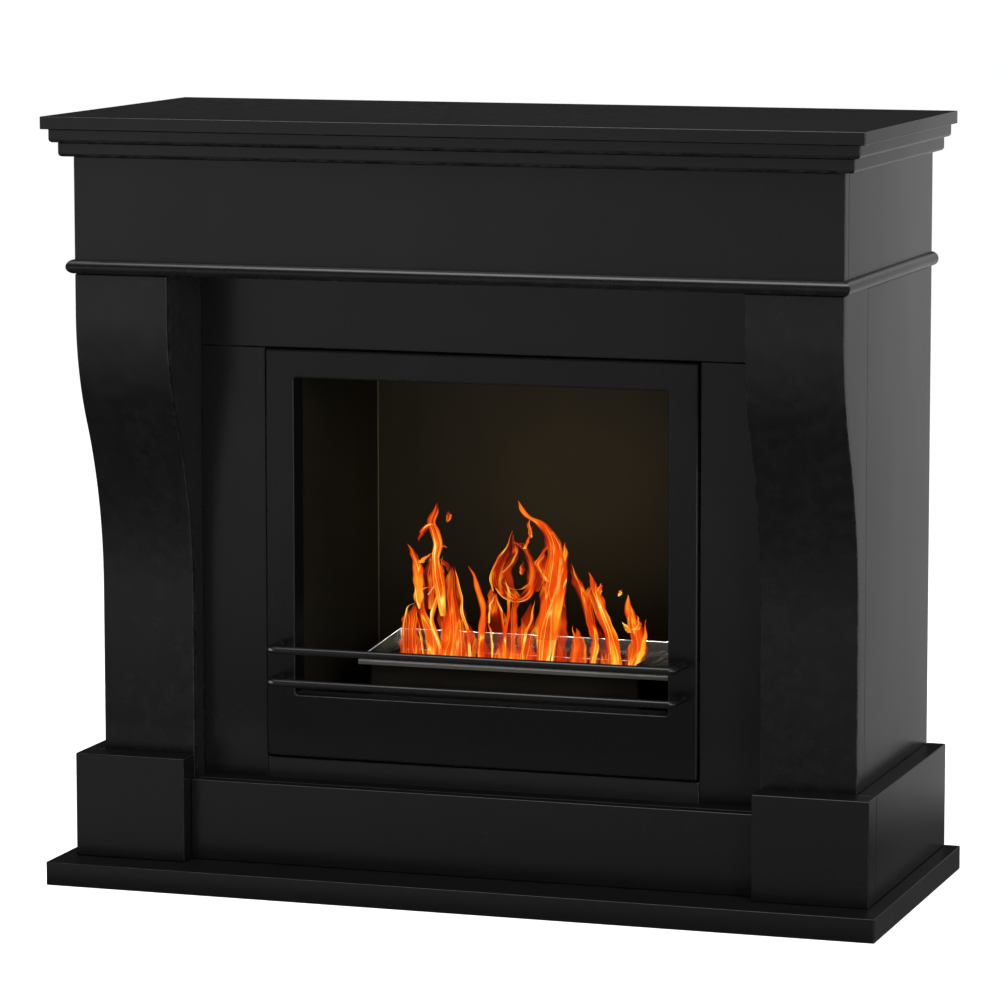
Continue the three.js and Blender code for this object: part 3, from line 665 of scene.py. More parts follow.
boards = {
    "paintedRadius": 1.3 * mm,
    "bareRadius": 0.5 * mm,
    "painted": ("plinth_front_left", "plinth_front_right", "plinth_side_left",
                "plinth_side_right", "plinth_front_centre", "plinth_ledge_centre",
                "header_board", "stile_left", "stile_right", "bottom_rail", "frieze_front",
                "frieze_return_left", "frieze_return_right", "soffit_board",
                "side_panel_left", "side_panel_right"),
    "bare": ("pilaster_rib_top_left", "pilaster_rib_top_right", "pilaster_rib_bottom_left",
             "pilaster_rib_bottom_right", "carcass_top", "back_rail_top", "back_rail_bottom",
             "insert_shelf", "shelf_cleat_left", "shelf_cleat_right"),
}


def makeBoards(settings):
    # every plain board is a rounded box of its node's size
    for node in settings["painted"]:
        piece = roundedBoard("painted_" + node, *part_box(node), settings["paintedRadius"])
        markArrises(piece)
        evenNormals(dress(piece, node, paint))
    for node in settings["bare"]:
        piece = roundedBoard("raw_" + node, *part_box(node), settings["bareRadius"], steps=2)
        evenNormals(dress(piece, node, bareBoard))


makeBoards(boards)
print("boards made")

mouldings = {
    "cornerRadius": 1.8 * mm,       # on the upright corners
    "slabRadius": 1.0 * mm,
    "corniceRadius": 5.0 * mm,
    "upperArris": 1.0 * mm,
    "baseRadius": 0.9 * mm,
}


def edgeProfile(low, high, lowerRadius, upperRadius, steps=6):
    # (inset, height) from the underside round to the top, each edge a quarter circle
    turns = quarterTurn(steps + 1)
    lower = [(lowerRadius * (1 - math.sin(t)), low + lowerRadius * (1 - math.cos(t)))
             for t in turns]
    upper = [(upperRadius * (1 - math.cos(t)), high - upperRadius * (1 - math.sin(t)))
             for t in turns]
    return lower + upper


def mouldedSlab(node, lowerRadius, upperRadius, cornerRadius):
    # the edge profile carried round the front and sides; the back stays flat against the wall
    low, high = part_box(node)
    rings = []
    for inset, height in edgeProfile(low[2], high[2], lowerRadius, upperRadius):
        radius = max(cornerRadius - inset, 0.2 * mm)
        rings.append(levelRing(np.array(low[:2]) + inset, np.array(high[:2]) - [inset, 0.0],
                               radius, height))
    piece = lofted("painted_" + node, rings)
    markArrises(piece)
    evenNormals(dress(piece, node, paint))


def makeMouldings(settings):
    # four slabs, one function: only the radii of their edges differ
    corner = settings["cornerRadius"]
    base = settings["baseRadius"]
    mouldedSlab("base_slab", base, base, corner + base)
    for node in ("cornice_lower", "cornice_upper"):
        mouldedSlab(node, settings["corniceRadius"], settings["upperArris"], corner)
    mouldedSlab("top_slab", settings["slabRadius"], settings["slabRadius"], corner)


makeMouldings(mouldings)

pilasterShape = {
    "setback": 80 * mm,             # from the top front to the foot front
    "upperRadius": 330 * mm,
    "lowerRadius": 510 * mm,
    "straightTop": 51.5 * mm,
    "faceThickness": 8 * mm,
    "seam": 0.25 * mm,              # the painted joint between face and cheek is nearly closed
    "arris": 1.6 * mm,
    "hiddenArris": 0.3 * mm,
    "curveSteps": 40,
    "easeSteps": 5,
}


def pilasterCurve(settings, frontY, low, high):
    # front line in YZ: straight, a bulging arc, a hollow arc tangent to it, straight; the
    # normals point into the pilaster at the same angle on both arcs
    radiusSum = settings["upperRadius"] + settings["lowerRadius"]
    turn = math.acos(1.0 - settings["setback"] / radiusSum)
    curveTop = high - settings["straightTop"]
    curveBottom = curveTop - radiusSum * math.sin(turn)
    down = np.linspace(0.0, turn, settings["curveSteps"])
    up = down[::-1][1:]
    upperY = frontY + settings["upperRadius"] * (1 - np.cos(down))
    upperZ = curveTop - settings["upperRadius"] * np.sin(down)
    footY = frontY + settings["setback"]
    lowerY = footY - settings["lowerRadius"] * (1 - np.cos(up))
    lowerZ = curveBottom + settings["lowerRadius"] * np.sin(up)
    ease = quarterTurn(settings["easeSteps"])
    endSteps = settings["arris"] * (1 - np.cos(ease))
    topZ = high - endSteps
    bottomZ = (low + endSteps)[::-1]
    path = np.concatenate([
        fromParts(frontY, topZ), fromParts(upperY, upperZ),
        fromParts(lowerY, lowerZ), fromParts(footY, bottomZ)])
    straight = np.zeros(len(ease))
    angles = np.concatenate([straight, down, up, straight])
    normals = fromParts(np.cos(angles), np.sin(angles))
    drawIn = settings["arris"] * (1 - np.sin(ease))
    shrink = np.concatenate([drawIn, np.zeros(len(down) + len(up)), drawIn[::-1]])
    return path, normals, shrink


def makePilasters(settings):
    # the face's section, with rounded front corners, is carried down the curve; each cheek is a
    # plate whose front follows the same curve behind the face
    for side in ("left", "right"):
        node = "pilaster_face_" + side
        low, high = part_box(node)
        path, normals, shrink = pilasterCurve(settings, low[1], low[2], high[2])
        depth = settings["faceThickness"] + settings["seam"]
        turns = quarterTurn(6)
        arris = settings["arris"]
        near, far = arris * (1 - np.cos(turns)), arris * (1 - np.sin(turns))
        frontRight, frontLeft = fromParts(high[0] - far, near), fromParts(low[0] + near, far)
        back = np.array([[high[0], depth], [low[0], depth]])
        section = np.vstack([frontRight, back, frontLeft])
        piece = sectionLoft("painted_" + node, path, normals, section, shrink)
        markArrises(piece, sidesOnly=True)
        evenNormals(dress(piece, node, paint))
        for place in ("outer", "inner"):
            cheek = f"pilaster_cheek_{place}_{side}"
            cheekLow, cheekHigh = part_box(cheek)
            behind = settings["faceThickness"] + 2 * settings["seam"]
            front = (path + normals * behind)[shrink < 1e-9]
            front = np.vstack([[front[0][0], cheekHigh[2]], front, [front[-1][0], cheekLow[2]]])
            corners = np.array([[cheekHigh[1], cheekLow[2]], [cheekHigh[1], cheekHigh[2]]])
            outline = np.vstack([front, corners])
            keep = np.linalg.norm(outline - np.roll(outline, 1, axis=0), axis=1) > 1e-6
            plate = plateFromOutline("painted_" + cheek, outline[keep], 0, cheekLow[0],
                                     cheekHigh[0], settings["hiddenArris"])
            markArrises(plate)
            evenNormals(dress(plate, cheek, paint))


makePilasters(pilasterShape)

beadShape = {
    "steps": 20,
    "mitre": 0.1 * mm,
    "end": 0.6 * mm,
    "wornAndHighlit": 0.15,                   # the arris value all over the round: lighter as wear and as a painted highlight
}


def makeBeads(settings):
    # half-round profile; along the front its ends run out as far as the profile stands out,
    # and the side beads start from the same mitre
    frontLow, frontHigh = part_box("bead_front")
    friezeLow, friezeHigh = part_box("frieze_front")
    radius = (frontHigh[2] - frontLow[2]) / 2
    middle = (frontHigh[2] + frontLow[2]) / 2
    turns = np.linspace(-math.pi / 2, math.pi / 2, settings["steps"] + 1)
    out = radius * np.cos(turns)
    height = middle + radius * np.sin(turns)
    wallY = cadHigh[1]
    gap = settings["mitre"]

    def frontRing(sign):
        return fromParts(sign * (friezeHigh[0] + out - gap), friezeLow[1] - out, height)

    rings = [frontRing(-1), frontRing(1)]
    pieces = [("bead_front", rings)]
    for side, sign in (("left", -1), ("right", 1)):
        x = sign * (friezeHigh[0] + out)
        near = fromParts(x, friezeLow[1] - out + gap, height)
        eased = fromParts(x, wallY - settings["end"], height)
        far = fromParts(x - sign * settings["end"] * np.cos(turns), wallY, height)
        pieces.append(("bead_" + side, [near, eased, far]))
    for node, made in pieces:
        piece = lofted("painted_" + node, made)
        keepValue(piece.data, "arris", settings["wornAndHighlit"])
        evenNormals(dress(piece, node, paint))


makeBeads(beadShape)
print("surround made")


def makeFascia(settings):
    # rows of rounded rectangles run from the outer lip round the front and into the opening
    # lip, then back along the inside of the sheet
    low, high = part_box("insert_fascia")
    outerLow, outerHigh = np.array([low[0], low[2]]), np.array([high[0], high[2]])
    openLow, openHigh = openingRectangle(settings)
    frontY, sheet, bend = low[1], settings["sheet"], settings["bend"]
    corner = settings["openingCorner"]
    inner = bend - sheet
    turns = quarterTurn(6)
    rows = []

    def outer(inset, depth):
        rows.append(rectangleRing(outerLow + inset, outerHigh - inset,
                                  max(bend - inset, 0.1 * mm), frontY + depth))

    def opening(outset, depth):
        rows.append(rectangleRing(openLow - outset, openHigh + outset, corner + outset,
                                  frontY + depth))

    outer(0.0, settings["outerLip"])
    for turn in turns:
        outer(bend * (1 - math.cos(turn)), bend * (1 - math.sin(turn)))
    for turn in turns:
        opening(bend * (1 - math.sin(turn)), bend * (1 - math.cos(turn)))
    opening(0.0, settings["openingLip"])
    opening(sheet, settings["openingLip"])
    for turn in turns[::-1]:
        opening(bend - inner * math.sin(turn), bend - inner * math.cos(turn))
    for turn in turns[::-1]:
        outer(bend - inner * math.cos(turn), bend - inner * math.sin(turn))
    outer(sheet, settings["outerLip"])
    piece = lofted("steel_fascia", rows, closeRows=True)
    markArrises(piece)
    evenNormals(dress(piece, "insert_fascia", powder))


gasketShape = {
    "front": 13.5 * mm,             # behind the insert's front
    "depth": 5 * mm,
    "play": 0.05 * mm,
    "corner": 3 * mm,
    "outerCorner": 0.3 * mm,
}


def makeGasket(settings):
    # a soft black frame that fills the gap between the insert and the boards around it
    low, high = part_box("insert_fascia")
    play = settings["play"]
    outerLow = np.array([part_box("stile_left")[1][0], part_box("bottom_rail")[1][2]]) + play
    outerHigh = np.array([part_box("stile_right")[0][0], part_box("header_board")[0][2]]) - play
    innerLow, innerHigh = np.array([low[0], low[2]]) - play, np.array([high[0], high[2]]) + play
    near = low[1] + settings["front"]
    far = near + settings["depth"]
    corner = settings["corner"]
    sharp = settings["outerCorner"]
    rows = [rectangleRing(outerLow, outerHigh, sharp, near),
            rectangleRing(outerLow, outerHigh, sharp, far),
            rectangleRing(innerLow, innerHigh, corner, far),
            rectangleRing(innerLow, innerHigh, corner, near)]
    dressAlone(lofted("insert_gasket", rows, closeRows=True), seal)


makeFascia(fasciaShape)
makeGasket(gasketShape)

railShape = {
    "bend": 10 * mm,
    "sides": 32,
    "bendSteps": 12,
    "threadPitch": 1.25 * mm,
    "threadDepth": 0.25 * mm,
    "threadLength": 14 * mm,
    "threadSteps": 4,               # rings to a pitch
    "plainStart": 1 * mm,           # the first ring after the bend
    "endEase": 0.8 * mm,
}


def makeRail(node, settings):
    # a level path of straight legs and quarter bends; a circle is carried along it, and its
    # radius falls in a saw wave on the threaded ends
    low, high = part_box(node)
    radius = (high[2] - low[2]) / 2
    height = (high[2] + low[2]) / 2
    legX = (high[0] - low[0]) / 2 - radius
    barY, endY = low[1] + radius, high[1]
    bend = settings["bend"]
    pitch = settings["threadPitch"]
    threadStart = endY - settings["threadLength"]
    grooveEnd = endY - settings["endEase"]
    grooves = np.arange(threadStart, grooveEnd, pitch / settings["threadSteps"])
    legY = np.concatenate([[barY + bend + settings["plainStart"]], grooves, [grooveEnd, endY]])
    wave = np.abs(((legY - threadStart) / pitch) % 1.0 - 0.5)
    legRadius = radius - settings["threadDepth"] * wave * 2
    legRadius[0] = radius
    legRadius[-1] = radius - settings["endEase"]
    turns = quarterTurn(settings["bendSteps"] + 1)
    leftBend = fromParts(-legX + bend * (1 - np.cos(turns)),
                         barY + bend * (1 - np.sin(turns)))
    leftHeading = fromParts(np.sin(turns), -np.cos(turns))
    leftLeg = fromParts(-legX, legY[::-1])
    half = np.vstack([leftLeg, leftBend])
    halfHeading = np.vstack([np.tile([0.0, -1.0], (len(legY), 1)), leftHeading])
    halfRadius = np.concatenate([legRadius[::-1], np.full(len(turns), radius)])
    path = np.vstack([half, half[::-1] * [-1, 1]])
    heading = np.vstack([halfHeading, halfHeading[::-1] * [1, -1]])
    radii = np.concatenate([halfRadius, halfRadius[::-1]])
    around = fullTurn(settings["sides"])
    sideways = fromParts(-heading[:, 1], heading[:, 0])
    rings = np.empty((len(path), len(around), 3))
    across = radii[:, None, None] * np.cos(around)[None, :, None]
    rings[:, :, :2] = path[:, None] + across * sideways[:, None]
    rings[:, :, 2] = height + radii[:, None] * np.sin(around)[None, :]
    piece = lofted("bent_" + node, rings)
    keepValue(piece.data, "arris", 0.0)
    dress(piece, node, railPaint)


nutShape = {
    "boreRadius": 5.2 * mm,
    "boreEase": 0.5 * mm,
    "points": 72,
    # the cone at each face: how deep in mm, and how far out of the flats it leaves the corners
    "faceIn": 0.2 * mm,
    "easeDepth": 0.25,
    "easeOut": 0.3 * mm,
    "chamfer": 1.5,
    "clear": 1.2,                   # times the flats: past the corners, so nothing is cut
}


def makeNut(node, settings):
    # hexagon whose corners are cut by a cone at both faces, round a bore
    low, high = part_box(node)
    centreX, centreZ = (low[0] + high[0]) / 2, (low[2] + high[2]) / 2
    flats = (high[2] - low[2]) / 2
    around = fullTurn(settings["points"])
    hexagon = flats / np.cos((around + math.pi / 6) % (math.pi / 3) - math.pi / 6)
    thick = (high[1] - low[1]) / mm
    cone = ((0.0, flats - settings["faceIn"]), (settings["easeDepth"], flats + settings["easeOut"]),
            (settings["chamfer"], flats * settings["clear"]))
    rows = [(np.minimum(hexagon, limit), low[1] + depth * mm) for depth, limit in cone]
    rows += [(np.minimum(hexagon, limit), low[1] + (thick - depth) * mm)
             for depth, limit in cone[::-1]]
    bore, ease = settings["boreRadius"], settings["boreEase"]
    rows += [(bore + ease, high[1]), (bore, high[1] - ease),
             (bore, low[1] + ease), (bore + ease, low[1])]
    rings = [fromParts(centreX + radius * np.cos(around), y, centreZ + radius * np.sin(around))
             for radius, y in rows]
    piece = lofted("hex_" + node, rings, closeRows=True, sharpAngle=25.0)
    evenNormals(dress(piece, node, zinc))


for railNode in ("fender_rail_upper", "fender_rail_lower"):
    makeRail(railNode, railShape)
for nutPlace in ("upper_left", "upper_right", "lower_left", "lower_right"):
    makeNut("rail_nut_" + nutPlace, nutShape)

fireboxShape = {
    "edge": 0.6 * mm,
    "panCorner": 4 * mm,
    "panBend": 3 * mm,
    "sheet": 2 * mm,
    "seam": 1.6 * mm,               # a thin weld in the back corners, painted light as a highlight line
    "rivetRadius": 3.2 * mm,
    "rivetHeight": 1.3 * mm,
    "rivetInset": 12 * mm,
    "rivetRows": 7,
    "rivetSides": 14,
    "rivetSink": 0.3 * mm,          # how far a head runs into the sheet
    # arris value of the rivet heads: lighter as wear and as a painted highlight
    "rivetWornAndHighlit": 0.3,
    "locatorSheet": 1.5 * mm,
    "locatorBend": 1.6 * mm,
    "locatorEase": 0.3 * mm,
}


def rivetHeads(name, centres, settings):
    # shallow domes on the back of a flat sheet, all in one mesh
    around = fullTurn(settings["rivetSides"])
    lift = quarterTurn(5)
    radius = settings["rivetRadius"]
    spread = np.concatenate([[radius], radius * np.cos(lift)])
    rise = np.concatenate([[-settings["rivetSink"]], settings["rivetHeight"] * np.sin(lift)])
    points, faces = [], []
    for x, y, z in centres:
        ring = np.empty((len(lift) + 1, len(around), 3))
        ring[:, :, 0] = x + spread[:, None] * np.cos(around)[None]
        ring[:, :, 2] = z + spread[:, None] * np.sin(around)[None]
        ring[:, :, 1] = y + rise[:, None]
        start = sum(len(part) for part in points)
        points.append(ring.reshape(-1, 3))
        faces += (bandFaces(*ring.shape[:2]) + start).tolist()
        faces.append([start + index for index in range(len(around))][::-1])
    return meshPiece(name, np.vstack(points), faces)


def makeLocators(settings):
    # an angle on each side of the burner: its foot points away and its web stands up
    sheet = settings["locatorSheet"]
    for side, sign in (("left", -1), ("right", 1)):
        node = "burner_locator_" + side
        low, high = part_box(node)
        inner, outer = (high[0], low[0]) if sign < 0 else (low[0], high[0])
        webX, footZ = inner + sign * sheet / 2, low[2] + sheet / 2
        outline = bentStrip([[outer, footZ], [webX, footZ], [webX, high[2]]], sheet,
                            settings["locatorBend"])
        angle = plateFromOutline("steel_" + node, outline, 1, low[1], high[1],
                                 settings["locatorEase"])
        markArrises(angle)
        evenNormals(dress(angle, node, powder))


def makeFirebox(settings):
    # four flat sheets and a pan, with a weld in both back corners, painted light as a highlight
    # line, and rivets down the back
    for node in ("firebox_left", "firebox_right", "firebox_back", "firebox_top"):
        material = flameLitBackPaint if node == "firebox_back" else fireboxPaint
        piece = roundedBoard("steel_" + node, *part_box(node), settings["edge"], steps=3)
        evenNormals(dress(markArrises(piece), node, material))
    pan = openBox("steel_firebox_floor", *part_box("firebox_floor"), settings["sheet"],
                  settings["panCorner"], settings["panBend"])
    evenNormals(dress(pan, "firebox_floor", fireboxPaint))
    makeLocators(settings)
    low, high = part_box("firebox_back")
    width, inset = settings["seam"], settings["rivetInset"]
    for side, sign in (("left", -1), ("right", 1)):
        wallLow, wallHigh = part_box("firebox_" + side)
        x = wallHigh[0] if sign < 0 else wallLow[0]
        seamLow = (min(x, x - sign * width), low[1] - width, low[2] + inset)
        seamHigh = (max(x, x - sign * width), low[1], high[2] - inset)
        seam = roundedBoard("firebox_seam_" + side, seamLow, seamHigh, width * 0.3, steps=2)
        dressAlone(markArrises(seam), seamHighlightPaint)
    heights = np.linspace(low[2] + inset, high[2] - inset, settings["rivetRows"])
    centres = [(x, high[1], z) for x in (low[0] + inset, high[0] - inset) for z in heights]
    rivets = dressAlone(rivetHeads("firebox_rivets", centres, settings), powder)
    keepValue(rivets.data, "arris", settings["rivetWornAndHighlit"])


makeFirebox(fireboxShape)
print("insert made")


burnerShape = {
    "sheet": 1.5 * mm,
    "bend": 2.0 * mm,
    "tankCorner": 5 * mm,
    "lipReturn": 7 * mm,
    "backRise": 16 * mm,
    "cheekFront": 1.5 * mm,
    "collar": 6 * mm,
    "slotCorner": 4 * mm,
    "slotWidth": 328 * mm,
    "slotDepth": 54 * mm,
    "slotSetback": 46 * mm,
    "plateCorner": 0.3 * mm,
    "sheetEase": 0.25 * mm,
    "wallEdge": 0.7 * mm,
    "wallBand": 1.3 * mm,
    "rimAbove": 1.0 * mm,           # over the plate, from where the edge is painted pale as a highlight line
    "guideWeb": 4 * mm,             # how far the web stands out of the lid's path
    "guideBend": 1.0 * mm,
}


def slotRectangle(settings):
    # the tray's slot in X and Y
    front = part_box("burner_tray")[0][1] + settings["slotSetback"]
    half = settings["slotWidth"] / 2
    return np.array([-half, front]), np.array([half, front + settings["slotDepth"]])


def keepRimOnly(piece, height):
    # the pale edge, a painted highlight line, is only on the rim that stands above a height
    count = len(piece.data.vertices)
    places, amounts = np.empty(count * 3, np.float32), np.empty(count, np.float32)
    piece.data.vertices.foreach_get("co", places)
    layer = piece.data.attributes["arris"]
    layer.data.foreach_get("value", amounts)
    kept = np.where(places[2::3] > height, amounts, 0.0)
    layer.data.foreach_set("value", kept.astype(np.float32))


def makeTray(settings):
    # top plate with a collared slot, a lip bent down in front, and one strip that makes the
    # left cheek, the back and the right cheek, rising from the front to the back corners
    low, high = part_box("burner_tray")
    sheet, bend = settings["sheet"], settings["bend"]
    topZ = high[2] - settings["backRise"]
    slotLow, slotHigh = slotRectangle(settings)
    plateLow = np.array([low[0] + sheet, low[1] + settings["lipReturn"]])
    plateHigh = np.array([high[0] - sheet, high[1] - sheet])
    plateCorner = settings["plateCorner"]
    rows = [levelRing(plateLow, plateHigh, plateCorner, topZ - sheet),
            levelRing(plateLow, plateHigh, plateCorner, topZ)]
    corner = settings["slotCorner"]

    def collar(outset, height):
        rows.append(levelRing(slotLow - outset, slotHigh + outset, corner + outset, height))

    for turn in quarterTurn(5):
        collar(bend * (1 - math.sin(turn)), topZ - bend * (1 - math.cos(turn)))
    collar(0.0, topZ - settings["collar"])
    collar(sheet, topZ - settings["collar"])
    collar(bend, topZ - bend)
    plate = lofted("tray_plate", rows, closeRows=True)

    half = sheet / 2
    lipY = low[1] + half
    lipCorners = [[lipY, low[2]], [lipY, topZ - half], [plateLow[1], topZ - half]]
    lip = plateFromOutline("tray_lip", bentStrip(lipCorners, sheet, bend), 0, low[0], high[0],
                           settings["sheetEase"])
    keepValue(lip.data, "dull", 1.0)

    plan = [[low[0] + half, low[1] + 2 * sheet], [low[0] + half, high[1] - half],
            [high[0] - half, high[1] - half], [high[0] - half, low[1] + 2 * sheet]]
    path = roundedPath(plan, bend, 6)
    normals = lineNormals(path)
    share = np.clip((path[:, 1] - low[1]) / (high[1] - low[1]), 0.0, 1.0)
    cheekFront = settings["cheekFront"]
    topLine = topZ + cheekFront + (settings["backRise"] - cheekFront) * share
    # across the strip: down both sides, and over the eased top edge between them
    edge, band = settings["wallEdge"], settings["wallBand"]
    inner = [half, half, half, half - edge * 0.3, half - edge]
    offsets = np.array(inner + [-offset for offset in inner[::-1]])
    innerDrops = [np.nan, band, edge, edge * 0.3, 0.0]
    drops = np.array(innerDrops + innerDrops[::-1])
    rings = np.empty((len(path), len(offsets), 3))
    rings[:, :, :2] = path[:, None] + normals[:, None] * offsets[None, :, None]
    rings[:, :, 2] = np.where(np.isnan(drops)[None, :], topZ - sheet,
                              topLine[:, None] - np.nan_to_num(drops)[None, :])
    walls = lofted("tray_walls", rings)
    tray = joined("stainless_tray", [plate, lip, walls])
    markArrises(tray)
    keepRimOnly(tray, topZ + settings["rimAbove"])
    evenNormals(dress(tray, "burner_tray", stainless, "burner"))


def makeGuides(settings):
    # a sheet bent to a Z on each side: foot outwards, web, and a lip that holds the lid's edge
    sheet = settings["sheet"]
    for side, sign in (("left", -1), ("right", 1)):
        node = "regulator_guide_" + side
        low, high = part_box(node)
        near, far = (high[0], low[0]) if sign < 0 else (low[0], high[0])
        webX = near + sign * (settings["guideWeb"] + sheet / 2)
        footZ, lipZ = low[2] + sheet / 2, high[2] - sheet / 2
        outline = bentStrip([[far, footZ], [webX, footZ], [webX, lipZ], [near, lipZ]], sheet,
                            settings["guideBend"])
        strip = plateFromOutline("stainless_" + node, outline, 1, low[1], high[1],
                                 settings["sheetEase"])
        evenNormals(dress(strip, node, stainless, "burner"))


lidShape = {
    "holeRadius": 4 * mm,
    "holeSetback": 14 * mm,
    "lipInset": 16 * mm,
    "lipFoot": 6 * mm,
    "lipBend": 1.2 * mm,
    "corner": 1.5 * mm,
    "edge": 0.3 * mm,
}


def makeLid(settings):
    # punched plate: rectangle and hole have the same count of points, so rings join them
    low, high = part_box("regulator_lid")
    sheet, edge = burnerShape["sheet"], settings["edge"]
    plateTop, corner = low[2] + sheet, settings["corner"]
    rim = []
    for inset, height in ((edge, low[2]), (0.0, low[2] + edge), (0.0, plateTop - edge),
                          (edge, plateTop)):
        rim.append(levelRing(np.array(low[:2]) + inset, np.array(high[:2]) - inset, corner, height))
    holeY, bore = low[1] + settings["holeSetback"], settings["holeRadius"]
    start = np.arctan2(rim[0][0, 1] - holeY, rim[0][0, 0])
    turns = fullTurn(len(rim[0])) + start
    hole = []
    for radius, height in ((bore + edge, plateTop), (bore, plateTop - edge),
                           (bore, low[2] + edge), (bore + edge, low[2])):
        hole.append(fromParts(radius * np.cos(turns), holeY + radius * np.sin(turns), height))
    plate = lofted("lid_plate", rim + hole, closeRows=True)
    lipHalf = high[0] - settings["lipInset"]
    lipY, footZ = low[1] + sheet / 2, low[2] + sheet / 2
    corners = [[lipY, high[2]], [lipY, footZ], [low[1] + settings["lipFoot"], footZ]]
    lip = plateFromOutline("lid_lip", bentStrip(corners, sheet, settings["lipBend"]), 0,
                           -lipHalf, lipHalf, edge)
    lid = joined("stainless_lid", [plate, lip])
    evenNormals(dress(lid, "regulator_lid", stainless, "regulator"))


def makeTank(settings):
    # an open box of dark steel
    tank = openBox("stainless_tank", *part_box("burner_tank"), settings["sheet"],
                   settings["tankCorner"], settings["bend"])
    evenNormals(dress(tank, "burner_tank", darkSteel, "burner"))


padShape = {
    "corner": 9 * mm,
    "crown": 2.0 * mm,
    "fluff": 0.7 * mm,
    "softEdge": 4 * mm,
    "closing": 0.98,                # how near to the middle the faces close
    "rings": 34,
    "steps": 16,
}


def makePad(settings):
    # a soft block: side rings bulge out, and the top closes in to the middle with a low crown
    # and a felted roughness of crossed waves
    low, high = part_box("absorbent_pad")
    low, high = np.array(low), np.array(high)
    share = np.linspace(0.0, 1.0, settings["rings"])
    crown, corner = settings["crown"], settings["corner"]
    reach = (high[:2] - low[:2]).min() / 2
    closed = reach * settings["closing"]
    soft = settings["softEdge"]
    rise = quarterTurn(7)
    rows = [(closed * (1 - s), low[2]) for s in share]
    rows += [(soft * (1 - math.sin(t)), low[2] + soft * (1 - math.cos(t))) for t in rise]
    rows += [(soft * (1 - math.cos(t)), high[2] - crown - soft * (1 - math.sin(t))) for t in rise]
    rows += [(soft + (closed - soft) * s, high[2] - crown + crown * math.sin(s * math.pi / 2))
             for s in share]
    made = []
    for inset, height in rows:
        radius = max(corner - inset, 0.5 * mm)
        radius = min(radius, reach - inset)
        made.append(levelRing(low[:2] + inset, high[:2] - inset, radius, height, settings["steps"]))
    made = np.array(made)
    x, y, z = made[..., 0], made[..., 1], made[..., 2]
    waves = np.sin(x * 900 + 3 * np.sin(y * 500)) * np.sin(y * 1100 + 2 * np.sin(x * 700))
    top = z > high[2] - crown - 1 * mm
    made[..., 2] = np.where(top, np.minimum(z + settings["fluff"] * (waves - 1), high[2]), z)
    pad = lofted("wool_pad", made)
    dress(pad, "absorbent_pad", wool, "burner")


makeTank(burnerShape)
makePad(padShape)
makeTray(burnerShape)
makeGuides(burnerShape)
makeLid(lidShape)
print("burner made")


